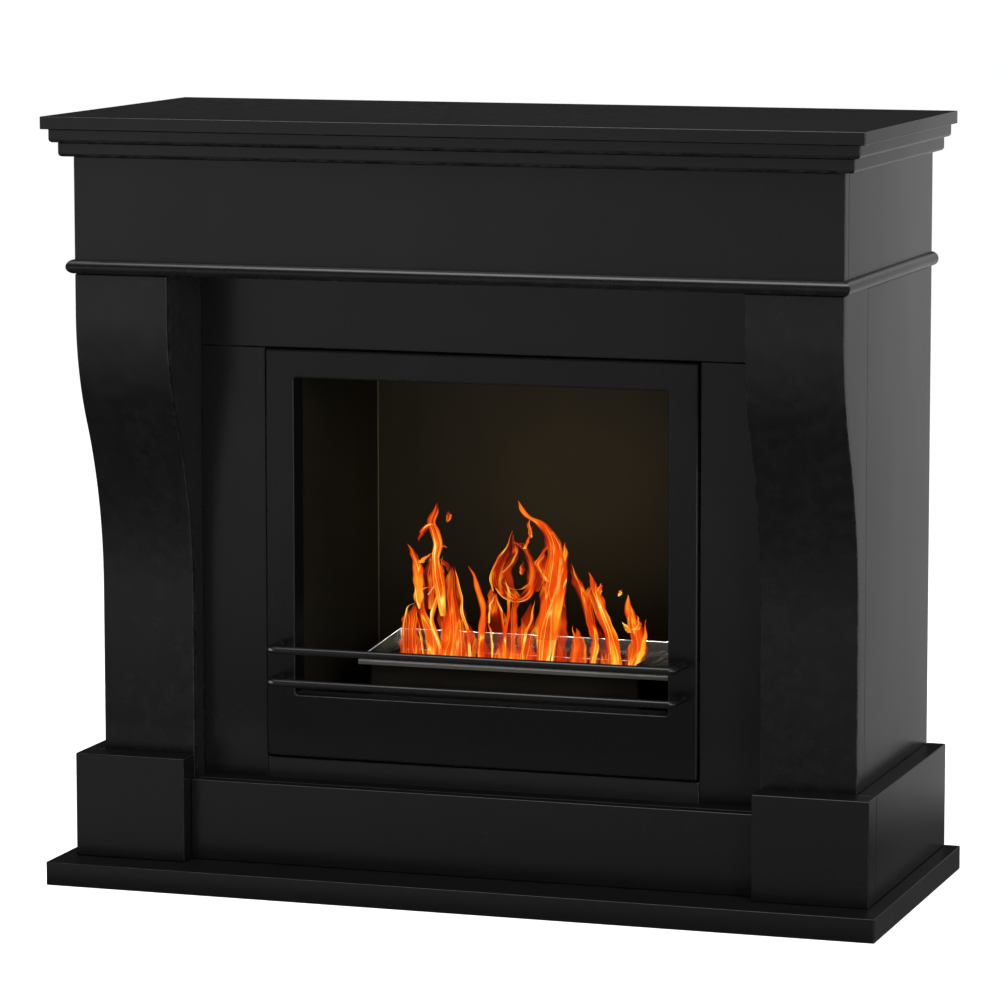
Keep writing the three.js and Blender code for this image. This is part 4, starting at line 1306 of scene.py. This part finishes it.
# Each stroke is a line of (across, up, half width) in mm: across from the middle of the slot,
# up from its rim. Cores are bright bodies, veils are clear red sheets with bright rims, and
# threads are thin bright lines. The depth is the group's place across the slot, in mm.
flameGroups = {
    "flame_left": {"depth": 5, "core": [
        [(-137, 60, 1), (-138, 76, 7), (-138, 92, 7), (-139, 108, 7), (-142, 124, 6),
         (-147, 134, 4),
         (-154, 144, 0)],
        [(-137, 84, 5), (-127, 88, 3), (-117, 87, 0)],
        [(-138, 74, 5), (-145, 76, 3), (-151, 76, 0)],
        [(-138, 120, 6), (-128, 128, 3), (-117, 135, 0)],
        [(-104, 52, 4), (-108, 88, 8), (-112, 111, 7), (-114, 128, 6), (-111, 145, 7),
         (-116, 162, 6),
         (-120, 174, 7), (-116, 187, 5), (-113, 201, 0)],
        [(-120, 172, 5), (-128, 167, 5), (-133, 158, 4), (-137, 149, 0)],
        [(-111, 142, 6), (-104, 144, 4), (-98, 141, 0)],
    ], "veil": [
        [(-150, 0, 13), (-150, 30, 13), (-148, 52, 9), (-143, 66, 0)],
        [(-118, 0, 8), (-122, 25, 8), (-130, 48, 8), (-136, 70, 5), (-138, 84, 0)],
        [(-124, 60, 8), (-124, 84, 12), (-124, 104, 11), (-118, 130, 6), (-114, 148, 0)],
        [(-103, 20, 4), (-104, 50, 8), (-106, 78, 8), (-104, 102, 5), (-106, 122, 0)],
        [(-101, 174, 1), (-99, 181, 4), (-101, 189, 0)],
        [(-112, 128, 3), (-101, 122, 4), (-94, 112, 3), (-90, 102, 0)],
    ], "thread": [
        [(-160, 0, 1.2), (-161, 32, 1.2), (-156, 58, 1), (-145, 67, 0)],
        [(-144, 0, 1.2), (-145, 32, 1.2), (-142, 60, 0)],
        [(-131, 0, 1.4), (-135, 28, 1.4), (-141, 60, 0)],
        [(-112, 0, 1.6), (-118, 30, 1.6), (-129, 55, 1.4), (-134, 76, 0)],
        [(-126, 78, 1), (-114, 96, 1.2), (-108, 112, 1), (-106, 130, 0)],
    ]},
    "flame_left_low": {"depth": -5, "core": [
        [(-95, 0, 12), (-93, 25, 12), (-92, 50, 9), (-91, 75, 6), (-90, 100, 0)],
    ], "veil": [
        [(-88, 0, 21), (-87, 25, 19), (-86, 48, 15), (-88, 73, 13), (-90, 96, 10), (-87, 119, 0)],
        [(-66, 0, 15), (-64, 22, 11), (-64, 44, 0)],
    ], "thread": [
        [(-104, 0, 3.4), (-115, 31, 3.4), (-119, 52, 3), (-112, 74, 2.5), (-105, 91, 2),
         (-107, 114, 0)],
        [(-66, 0, 2.2), (-69, 36, 2.2), (-77, 60, 1.8), (-77, 80, 1.8), (-83, 101, 1.4),
         (-85, 119, 0)],
        [(-84, 0, 2), (-82, 30, 2), (-86, 62, 1.5), (-84, 90, 0)],
    ]},
    "flame_inner_left": {"depth": 7, "core": [
        [(-54, 0, 4), (-52, 34, 4.5), (-50, 60, 4.5), (-56, 85, 4), (-63, 105, 2.5), (-70, 119, 0)],
    ], "veil": [
        [(-42, 0, 18), (-38, 30, 17), (-36, 55, 14), (-38, 74, 9), (-40, 90, 0)],
    ], "thread": [
        [(-23, 0, 1.8), (-24, 40, 1.8), (-30, 68, 1.4), (-37, 86, 0)],
        [(-40, 0, 1.4), (-41, 30, 1.4), (-46, 52, 0)],
        [(-44, 44, 1.2), (-42, 68, 1.2), (-34, 82, 0)],
    ]},
    "flame_ring": {"depth": 0, "core": [
        [(3, 111, 1), (4, 117, 4), (5, 130, 0)],
    ], "veil": [
        [(8, 80, 6), (-8, 82, 12), (-19, 96, 14), (-20, 114, 14), (-13, 132, 12), (-7, 148, 8),
         (-9, 160, 4),
         (-8, 171, 0)],
        [(-26, 84, 5), (-31, 100, 7), (-28, 120, 7), (-20, 138, 6), (-12, 152, 0)],
        [(-16, 82, 6), (-2, 78, 8), (12, 86, 9), (20, 98, 9), (22, 114, 8), (19, 130, 6),
         (13, 144, 4), (8, 154, 0)],
        [(-4, 152, 6), (4, 148, 6), (12, 138, 5), (16, 126, 0)],
        [(-12, 0, 9), (-11, 32, 8), (-10, 57, 8), (-8, 78, 8), (-8, 94, 0)],
        [(8, 0, 15), (9, 28, 12), (12, 52, 10), (16, 76, 0)],
    ], "thread": [
        [(-30, 92, 1.2), (-18, 80, 1.6), (0, 76, 2), (14, 82, 2), (24, 98, 1.5), (28, 116, 0)],
        [(-35, 88, 1.2), (-38, 106, 1.4), (-30, 128, 1.3), (-17, 146, 1.2), (-8, 168, 0)],
        [(-22, 100, 1), (-12, 92, 1.3), (2, 92, 1.4), (12, 100, 1.4), (13, 112, 0)],
        [(-24, 112, 1), (-14, 122, 1.2), (-6, 136, 1.1), (-6, 150, 0)],
        [(9, 146, 2), (15, 160, 1.5), (20, 177, 0)],
        [(-20, 0, 1.8), (-18, 32, 1.8), (-14, 60, 2), (-13, 82, 2), (-17, 104, 0)],
        [(7, 0, 1.8), (9, 29, 1.8), (18, 55, 1.5), (22, 80, 0)],
    ]},
    "flame_tall": {"depth": -3, "core": [
        [(34, 0, 11), (37, 34, 12), (41, 60, 12), (47, 86, 13), (49, 111, 12), (51, 140, 10),
         (43, 165, 8),
         (30, 181, 7), (15, 188, 6), (6, 197, 4), (0, 209, 0)],
        [(54, 90, 8), (58, 115, 7), (62, 135, 5), (63, 157, 0)],
        [(44, 104, 6), (32, 118, 6), (27, 128, 5), (33, 140, 3), (39, 152, 0)],
        [(17, 160, 1), (16, 166, 3), (14, 180, 1.5), (16, 188, 0)],
    ], "veil": [
        [(40, 30, 16), (46, 70, 18), (50, 110, 16), (52, 140, 13), (46, 166, 9), (34, 184, 0)],
        [(58, 0, 10), (58, 30, 9), (60, 58, 7), (64, 86, 0)],
        [(26, 92, 4), (30, 108, 7), (34, 126, 6), (36, 144, 3), (38, 156, 0)],
    ], "thread": [
        [(47, 0, 2.2), (52, 40, 2.2), (60, 80, 2), (64, 116, 2), (60, 141, 1.6), (53, 157, 1.6),
         (42, 173, 0)],
        [(26, 0, 2.8), (32, 43, 2.8), (34, 72, 2.4), (38, 98, 2), (43, 121, 0)],
    ]},
    "flame_fringe": {"depth": 12, "core": [
        [(69, 0, 3.5), (72, 24, 3), (70, 47, 0)],
    ], "veil": [
        [(94, 44, 5), (88, 70, 6), (80, 92, 7), (73, 109, 6), (65, 128, 0)],
        [(76, 0, 14), (78, 22, 10), (76, 44, 0)],
    ], "thread": [
        [(98, 40, 1.5), (90, 66, 1.8), (82, 90, 1.5), (74, 110, 1.2), (66, 128, 0)],
        [(86, 0, 1.4), (84, 24, 1.4), (75, 37, 0)],
    ]},
    "flame_inner_right": {"depth": -6, "core": [
        [(133, 0, 7), (131, 23, 8), (124, 47, 9), (113, 72, 9), (107, 92, 8), (103, 106, 5),
         (98, 121, 0)],
        [(107, 90, 6), (111, 99, 4), (115, 107, 0)],
        [(103, 0, 4), (108, 30, 5), (102, 54, 5), (94, 74, 0)],
        [(136, 90, 1), (138, 94, 3), (139, 99, 0)],
    ], "veil": [
        [(106, 36, 8), (99, 64, 9), (97, 86, 7), (99, 106, 0)],
        [(118, 0, 18), (116, 22, 15), (110, 50, 0)],
    ], "thread": [
        [(140, 0, 2.6), (136, 31, 2.6), (125, 60, 2.2), (114, 84, 0)],
    ]},
    "flame_right": {"depth": 4, "core": [
        [(153, 0, 5), (160, 20, 7), (157, 41, 8), (150, 57, 8), (146, 74, 5), (144, 91, 0)],
        [(150, 42, 6), (144, 48, 4), (137, 55, 0)],
        [(156, 46, 6), (160, 54, 4), (158, 65, 0)],
        [(158, 0, 4), (166, 18, 5), (170, 36, 3), (172, 62, 0)],
    ], "veil": [
        [(156, 0, 10), (162, 22, 11), (158, 46, 10), (152, 70, 0)],
    ], "thread": [
        [(148, 0, 1.8), (155, 24, 1.8), (151, 46, 1.5), (146, 68, 0)],
    ]},
}

flameShape = {
    "root": 0.266,            # inside the slot, under the tray's top
    "rim": 0.276,
    "flatness": 0.45,         # depth of a stroke over its width
    "sides": 16,
    "rings": 40,
    "lowVeils": 13,
    "lowHeight": (16, 34),
    "shrunk": 0.03,           # share of the height that is left under the closed lid
}


def smoothLine(points, count):
    # a curve through the points, by the cubic whose slopes are half the neighbours' distance
    points = np.asarray(points, float)
    padded = np.vstack([2 * points[0] - points[1], points, 2 * points[-1] - points[-2]])
    place = np.linspace(0.0, len(points) - 1.0, count)
    start = np.minimum(place.astype(int), len(points) - 2)
    t = (place - start)[:, None]
    a, b, c, d = (padded[start + step] for step in range(4))
    return 0.5 * (2 * b + (c - a) * t + (2 * a - 5 * b + 4 * c - d) * t**2
                  + (3 * b - a - 3 * c + d) * t**3)


def strokeHeat(kind, across, share):
    # how hot and how solid a stroke is, from its middle (0) to its rim (1) and from foot to tip
    if kind == "core":
        heat = 0.30 + 0.16 * (1 - across**2) + 0.28 * (1 - share)**2 - 0.08 * share**2
        solid = 0.96 * (1 - across**4) * (1 - 0.3 * share**4)
    elif kind == "veil":
        heat = 0.26 + 0.04 * (1 - share)
        solid = 0.72 * (1 - across**4) * (1 - 0.6 * share**3)
    else:
        heat = 0.68 - 0.24 * share**2
        solid = 0.88 * (1 - 0.5 * share**3)
    shape = (share.size, across.size)
    return np.broadcast_to(heat, shape), np.broadcast_to(solid, shape)


def makeFlame(name, group, settings, seed, material):
    # an ellipse is carried up each stroke; its sides waver by two waves of the share of the way
    random = np.random.default_rng(seed)
    slotLow, slotHigh = slotRectangle(burnerShape)
    middleY = (slotLow[1] + slotHigh[1]) / 2
    around = fullTurn(settings["sides"])
    points, faces = [], []
    values = {"warmth": [], "solid": [], "flowAcross": [], "flowAlong": []}
    count = 0
    for kind in ("core", "veil", "thread"):
        for stroke in group[kind]:
            line = smoothLine(stroke, settings["rings"]) * mm
            half = np.maximum(line[:, 2], 0.1 * mm)
            if stroke[0][1] == 0:
                line = np.vstack([[line[0, 0], settings["root"] - settings["rim"], 0.0], line])
                half = np.concatenate([half[:1], half])
            share = np.linspace(0.0, 1.0, len(line))
            phase = random.uniform(0, 6, 4)
            waver = 0.12 * np.sin(15 * share + phase[0]) + 0.09 * np.sin(31 * share + phase[1])
            half = half * (1.0 + waver)
            sway = 0.9 * mm * np.sin(19 * share + phase[2]) * share
            lean = (group["depth"] * mm + random.uniform(-5, 5) * mm
                    + random.uniform(-4, 4) * mm * share)
            ring = np.empty((len(line), len(around), 3))
            ring[:, :, 0] = (line[:, 0] + sway)[:, None] + half[:, None] * np.cos(around)
            ring[:, :, 1] = (middleY + lean[:, None]
                             + settings["flatness"] * half[:, None] * np.sin(around))
            ring[:, :, 2] = settings["rim"] + line[:, 1:2]
            rows, columns = ring.shape[:2]
            points.append(ring.reshape(-1, 3))
            faces += (bandFaces(rows, columns) + count).tolist()
            faces.append([count + index for index in range(columns)][::-1])
            faces.append([count + (rows - 1) * columns + index for index in range(columns)])
            count += rows * columns
            heat, solid = strokeHeat(kind, np.abs(np.cos(around))[None, :], share[:, None])
            steps = np.hypot(np.diff(line[:, 0]), np.diff(line[:, 1]))
            travelled = np.concatenate([[0.0], np.cumsum(steps)])
            place = random.uniform(0.0, 3.0)
            values["warmth"].append(heat.ravel())
            values["solid"].append(solid.ravel())
            values["flowAcross"].append((place + half[:, None] * np.cos(around)).ravel())
            values["flowAlong"].append(np.repeat(travelled, columns))
    values = {key: np.concatenate(parts) for key, parts in values.items()}
    piece = meshPiece(name, np.vstack(points), faces, sharpAngle=180.0, values=values)
    piece.data.materials.append(material)
    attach(piece, "burner")
    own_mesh(piece)
    hideFrom(piece, "diffuse", "glossy", "shadow")


flameLook = {
    "strength": 1.05,
    "streaks": (85.0, 0.10),            # waves per metre across the flow, and stretch along it
    "curls": (34.0, 0.45),
    "lineWidth": 0.030,                 # of the noise's own range
    "lineHeat": 0.46,
    "uneven": 0.24,                     # heat that each noise adds or takes
    "cover": (0.10, 0.50, 0.25, 1.0),   # from a low to a high heat, how much is covered
    "stops": [(0.02, (0.16, 0.005, 0.001)), (0.20, (0.45, 0.016, 0.001)),
              (0.40, (0.80, 0.046, 0.003)), (0.58, (1.0, 0.115, 0.006)),
              (0.76, (1.0, 0.34, 0.015)), (0.92, (1.0, 0.66, 0.06)), (1.0, (1.0, 0.86, 0.22))],
}


def makeFlameMaterial(settings):
    # the heat kept on the mesh is broken by a noise that follows the flow; where that noise
    # passes its middle value a thin bright line runs. The solid value says how much of what is
    # behind is covered
    flame = Glow("flame", settings["strength"])

    def flowNoise(scale, stretch, detail):
        along = flame.times(flame.amount("flowAlong"), stretch)
        place = flame.add("CombineXYZ", {"X": flame.amount("flowAcross"), "Y": along})
        return flame.add("TexNoise", {"Scale": scale, "Detail": detail,
                                      "Vector": place.outputs["Vector"]}).outputs["Fac"]

    streaks = flowNoise(*settings["streaks"], 1.0)
    curls = flowNoise(*settings["curls"], 2.0)
    uneven = settings["uneven"]
    broken = flame.plus(flame.fromNoise(streaks, -uneven, uneven),
                        flame.fromNoise(curls, -uneven, uneven))
    distance = flame.math("ABSOLUTE", flame.minus(streaks, 0.5))
    line = flame.remap(distance, 0.0, settings["lineWidth"], settings["lineHeat"], 0.0)
    heat = flame.plus(flame.amount("warmth"), flame.plus(broken, line))
    ramp = flame.add("ValToRGB", {"Fac": heat})
    elements, stops = ramp.color_ramp.elements, settings["stops"]
    while len(elements) < len(stops):
        elements.new(0.5)
    for element, (place, colour) in zip(elements, stops):
        element.position = place
        element.color = (*colour, 1.0)
    flame.set("Color", ramp.outputs["Color"])
    cover = flame.times(flame.amount("solid"), flame.remap(heat, *settings["cover"]))
    clear = flame.add("BsdfTransparent").outputs["BSDF"]
    mix = flame.add("MixShader", {"Fac": cover, 1: clear, 2: flame.shader.outputs["Emission"]})
    flame.put(flame.output.inputs["Surface"], mix.outputs["Shader"])
    return flame.material


def makeFlames(groups, settings):
    # each group has its own seed, so that a change in one leaves the others as they are
    material = makeFlameMaterial(flameLook)
    for seed, (name, group) in enumerate(groups.items()):
        makeFlame(name, group, settings, seed + 11, material)
    # low red flames along the rest of the slot
    random = np.random.default_rng(5)
    veils = []
    for place in np.linspace(-148, 148, settings["lowVeils"]):
        x = place + random.uniform(-5, 5)
        height = random.uniform(*settings["lowHeight"])
        width = random.uniform(6, 10)
        sway = random.uniform(-6, 6)
        veils.append([(x, 0, width), (x + sway * 0.3, height * 0.5, width * 0.8),
                      (x + sway, height, 0)])
    low = {"depth": 15, "core": [], "veil": veils, "thread": []}
    makeFlame("flame_low", low, settings, 31, material)


makeFlames(flameGroups, flameShape)
print("flames made")


studio = {
    "floorHalf": 60.0,
    "floorHeight": -0.6 * mm,
    "floorColour": (0.86, 0.86, 0.86),
    "floorGlow": 1.14,
    "world": 0.038,
    "domeRadius": 58.0,
    "domeSegments": 48,
    "domeRings": 24,
    # what the gloss mirrors from the floor: (from, to) in metres and (from, to) in light
    "sweepNear": (0.85, 1.60, 0.00, 0.19),       # in front, measured from the wall side
    "sweepFar": (2.5, 9.0, 0.0, 0.42),
    "sweepBack": (0.30, 1.2, 0.0, 0.55),         # behind the front corner, towards the wall
    "sweepSide": (-1.0, 1.0, 1.35, 0.65),        # brighter to the left
    "sweepRight": (0.50, 0.60, 1.0, 0.6),        # dark beside the right side
    "sweepSlant": 0.33,
    "sweepHeight": -0.9 * mm,
    # a pale card beside the wall, mirrored in the right side
    "cardLine": ((0.50, 0.72), (1.30, 0.72)),
    "cardHeight": 1.5,
    "cardLight": (0.60, 0.92, 0.62, 0.12),
    "cardRise": (0.0, 0.70, 0.74, 1.0),
    # a pale strip on the floor beside the base, mirrored in its right side
    "stripCorners": ((0.545, -0.30), (0.635, 0.55)),
    "stripHeight": -0.3 * mm,
    "stripLight": 0.095,
    # a low pale card in front, mirrored in the plinth and the base
    "lowCardLine": ((-1.0, -0.29), (0.62, -0.29)),
    "lowCardHeight": 0.152,
    "lowCardLight": (-0.6, 0.6, 0.25, 0.12),
    # a card to the right, mirrored only in upright rounded edges
    "edgeCardLine": ((2.2, -1.6), (2.2, 0.1)),
    "edgeCardHeight": 0.8,
    "edgeCardLight": (0.0, 3.0, 1.6, 1.6),
}


def flatPanel(name, corners):
    # one face that belongs to the studio, not to the object
    mesh = bpy.data.meshes.new(name)
    mesh.from_pydata(corners, [], [(0, 1, 2, 3)])
    panel = bpy.data.objects.new(name, mesh)
    bpy.context.collection.objects.link(panel)
    return panel


def levelPanel(name, low, high, height):
    # a panel that lies flat between two corners in plan
    return flatPanel(name, [(low[0], low[1], height), (high[0], low[1], height),
                            (high[0], high[1], height), (low[0], high[1], height)])


def mirroredOnly(piece, glow):
    # only glossy rays meet it
    piece.data.materials.append(glow.material)
    hideFrom(piece, "camera", "diffuse", "shadow", "transmission")


def studioCard(name, start, end, height, light, rise=(0.0, 1.0, 1.0, 1.0)):
    # an upright card that only glossy finishes see, over a line in plan; its light changes
    # from left to right and from the bottom up
    card = flatPanel(name, [(*start, 0), (*end, 0), (*end, height), (*start, height)])
    glow = Glow(name)
    place = glow.axes()
    glow.set("Strength", glow.times(glow.remap(place["X"], *light), glow.remap(place["Z"], *rise)))
    mirroredOnly(card, glow)


def makeSweep(settings, low, high):
    # what the glossy paint mirrors: a floor that is dark near the object's front
    sweep = levelPanel("studio_sweep", low, high, settings["sweepHeight"])
    glow = Glow("studio_sweep")
    place = glow.axes()
    forward = glow.times(place["Y"], -1.0)
    near = glow.times(glow.remap(forward, *settings["sweepNear"]),
                      glow.remap(place["X"], *settings["sweepRight"]))
    front = glow.plus(near, glow.remap(forward, *settings["sweepFar"]))
    slant = glow.plus(place["X"], glow.times(forward, settings["sweepSlant"]))
    front = glow.times(front, glow.remap(slant, *settings["sweepSide"]))
    back = glow.remap(place["Y"], *settings["sweepBack"])
    glow.set("Strength", glow.plus(front, back))
    mirroredOnly(sweep, glow)


def makeStudio(settings):
    # a pale floor and background, and the panels that the gloss mirrors
    half = settings["floorHalf"]
    floor = levelPanel("studio_floor", (-half, -half), (half, half), settings["floorHeight"])
    finish = Finish("studio_floor", settings["floorColour"], 0.9, specular=0.1)
    finish.set("Emission Color", settings["floorColour"])
    finish.set("Emission Strength", settings["floorGlow"])
    floor.data.materials.append(finish.material)
    hideFrom(floor, "glossy")
    makeSweep(settings, (-half, -half), (half, half))
    studioCard("studio_card", *settings["cardLine"], settings["cardHeight"],
               settings["cardLight"], settings["cardRise"])
    studioCard("studio_low_card", *settings["lowCardLine"], settings["lowCardHeight"],
               settings["lowCardLight"])
    studioCard("studio_edge_card", *settings["edgeCardLine"], settings["edgeCardHeight"],
               settings["edgeCardLight"])
    strip = levelPanel("studio_strip", *settings["stripCorners"], settings["stripHeight"])
    mirroredOnly(strip, Glow("studio_strip", settings["stripLight"]))

    # the pale background that the camera sees
    bpy.ops.mesh.primitive_uv_sphere_add(segments=settings["domeSegments"],
                                         ring_count=settings["domeRings"],
                                         radius=settings["domeRadius"])
    dome = bpy.context.object
    dome.name = "studio_dome"
    dome.data.materials.append(Glow("studio_dome").material)
    hideFrom(dome, "diffuse", "glossy", "shadow", "transmission")

    world = bpy.data.worlds.new("studio_world")
    world.use_nodes = True
    background = world.node_tree.nodes["Background"]
    background.inputs["Color"].default_value = (1.0, 1.0, 1.0, 1.0)
    background.inputs["Strength"].default_value = settings["world"]
    bpy.context.scene.world = world


# place, aim and size in metres, power in watts; a lamp may be hidden from glossy or diffuse rays;
# "only" is a light's own collection and the pieces it reaches
lamps = {
    "overhead_softbox": {"place": (0.0, -1.0, 3.4), "aim": (0.0, 0.0, 0.5), "size": (3.2, 2.4),
                         "power": 125.0},
    "right_softbox": {"place": (4.0, -3.4, 2.0), "aim": (-0.2, -0.1, 0.5), "size": (1.0, 2.4),
                      "power": 90.0},
    # the flames' light on the back of the firebox
    "fire_glow": {"place": (0.03, 0.02, 0.455), "aim": (0.045, 0.22, 0.455), "size": (0.20, 0.06),
                  "power": 0.27, "colour": (1.0, 0.78, 0.45), "hidden": ("glossy",)},
    # a narrow light that only the steel tray sees, for the bright line along its raised rim
    "rim_glint": {"place": (0.02, -0.05, 0.62), "aim": (0.02, 0.15, 0.294), "size": (0.46, 0.05),
                  "power": 0.8, "colour": (1.0, 0.94, 0.90), "spread": 24,
                  "only": ("steel_seen_by_rim_glint", ("stainless_tray",))},
    # a light from the left that only the rails see, for the glint on their left bends
    "rail_glint": {"place": (-1.5, -0.75, 0.30), "aim": (-0.27, -0.14, 0.30), "size": (1.1, 1.2),
                   "power": 22.0, "hidden": ("diffuse",),
                   "only": ("rails_seen_by_rail_glint",
                            ("bent_fender_rail_upper", "bent_fender_rail_lower"))},
    # soft light into the recess beside the left pilaster and above the plinth
    "recess_fill": {"place": (1.3, -1.6, 0.9), "aim": (-0.37, -0.14, 0.45), "size": (0.8, 0.8),
                    "power": 52.0, "hidden": ("glossy",),
                    "only": ("boards_seen_by_recess_fill",
                             ("painted_pilaster_cheek_inner_left", "painted_bottom_rail"))},
}


def addLamp(name, settings):
    # a flat lamp turned to its aim
    light = bpy.data.lights.new(name, "AREA")
    light.shape = "RECTANGLE"
    light.size, light.size_y = settings["size"]
    light.energy = settings["power"]
    light.color = settings.get("colour", (1.0, 1.0, 1.0))
    if "spread" in settings:
        light.spread = math.radians(settings["spread"])
    lamp = bpy.data.objects.new(name, light)
    bpy.context.collection.objects.link(lamp)
    place = Vector(settings["place"])
    lamp.location = place
    lamp.rotation_euler = (Vector(settings["aim"]) - place).to_track_quat("-Z", "Y").to_euler()
    hideFrom(lamp, "camera", *settings.get("hidden", ()))
    if "only" in settings:
        collection, pieces = settings["only"]
        group = bpy.data.collections.new(collection)
        for piece in pieces:
            group.objects.link(bpy.data.objects[piece])
        lamp.light_linking.receiver_collection = group


makeStudio(studio)
for lampName, lampSettings in lamps.items():
    addLamp(lampName, lampSettings)
bpy.context.scene.view_settings.view_transform = "Standard"
print("studio made")
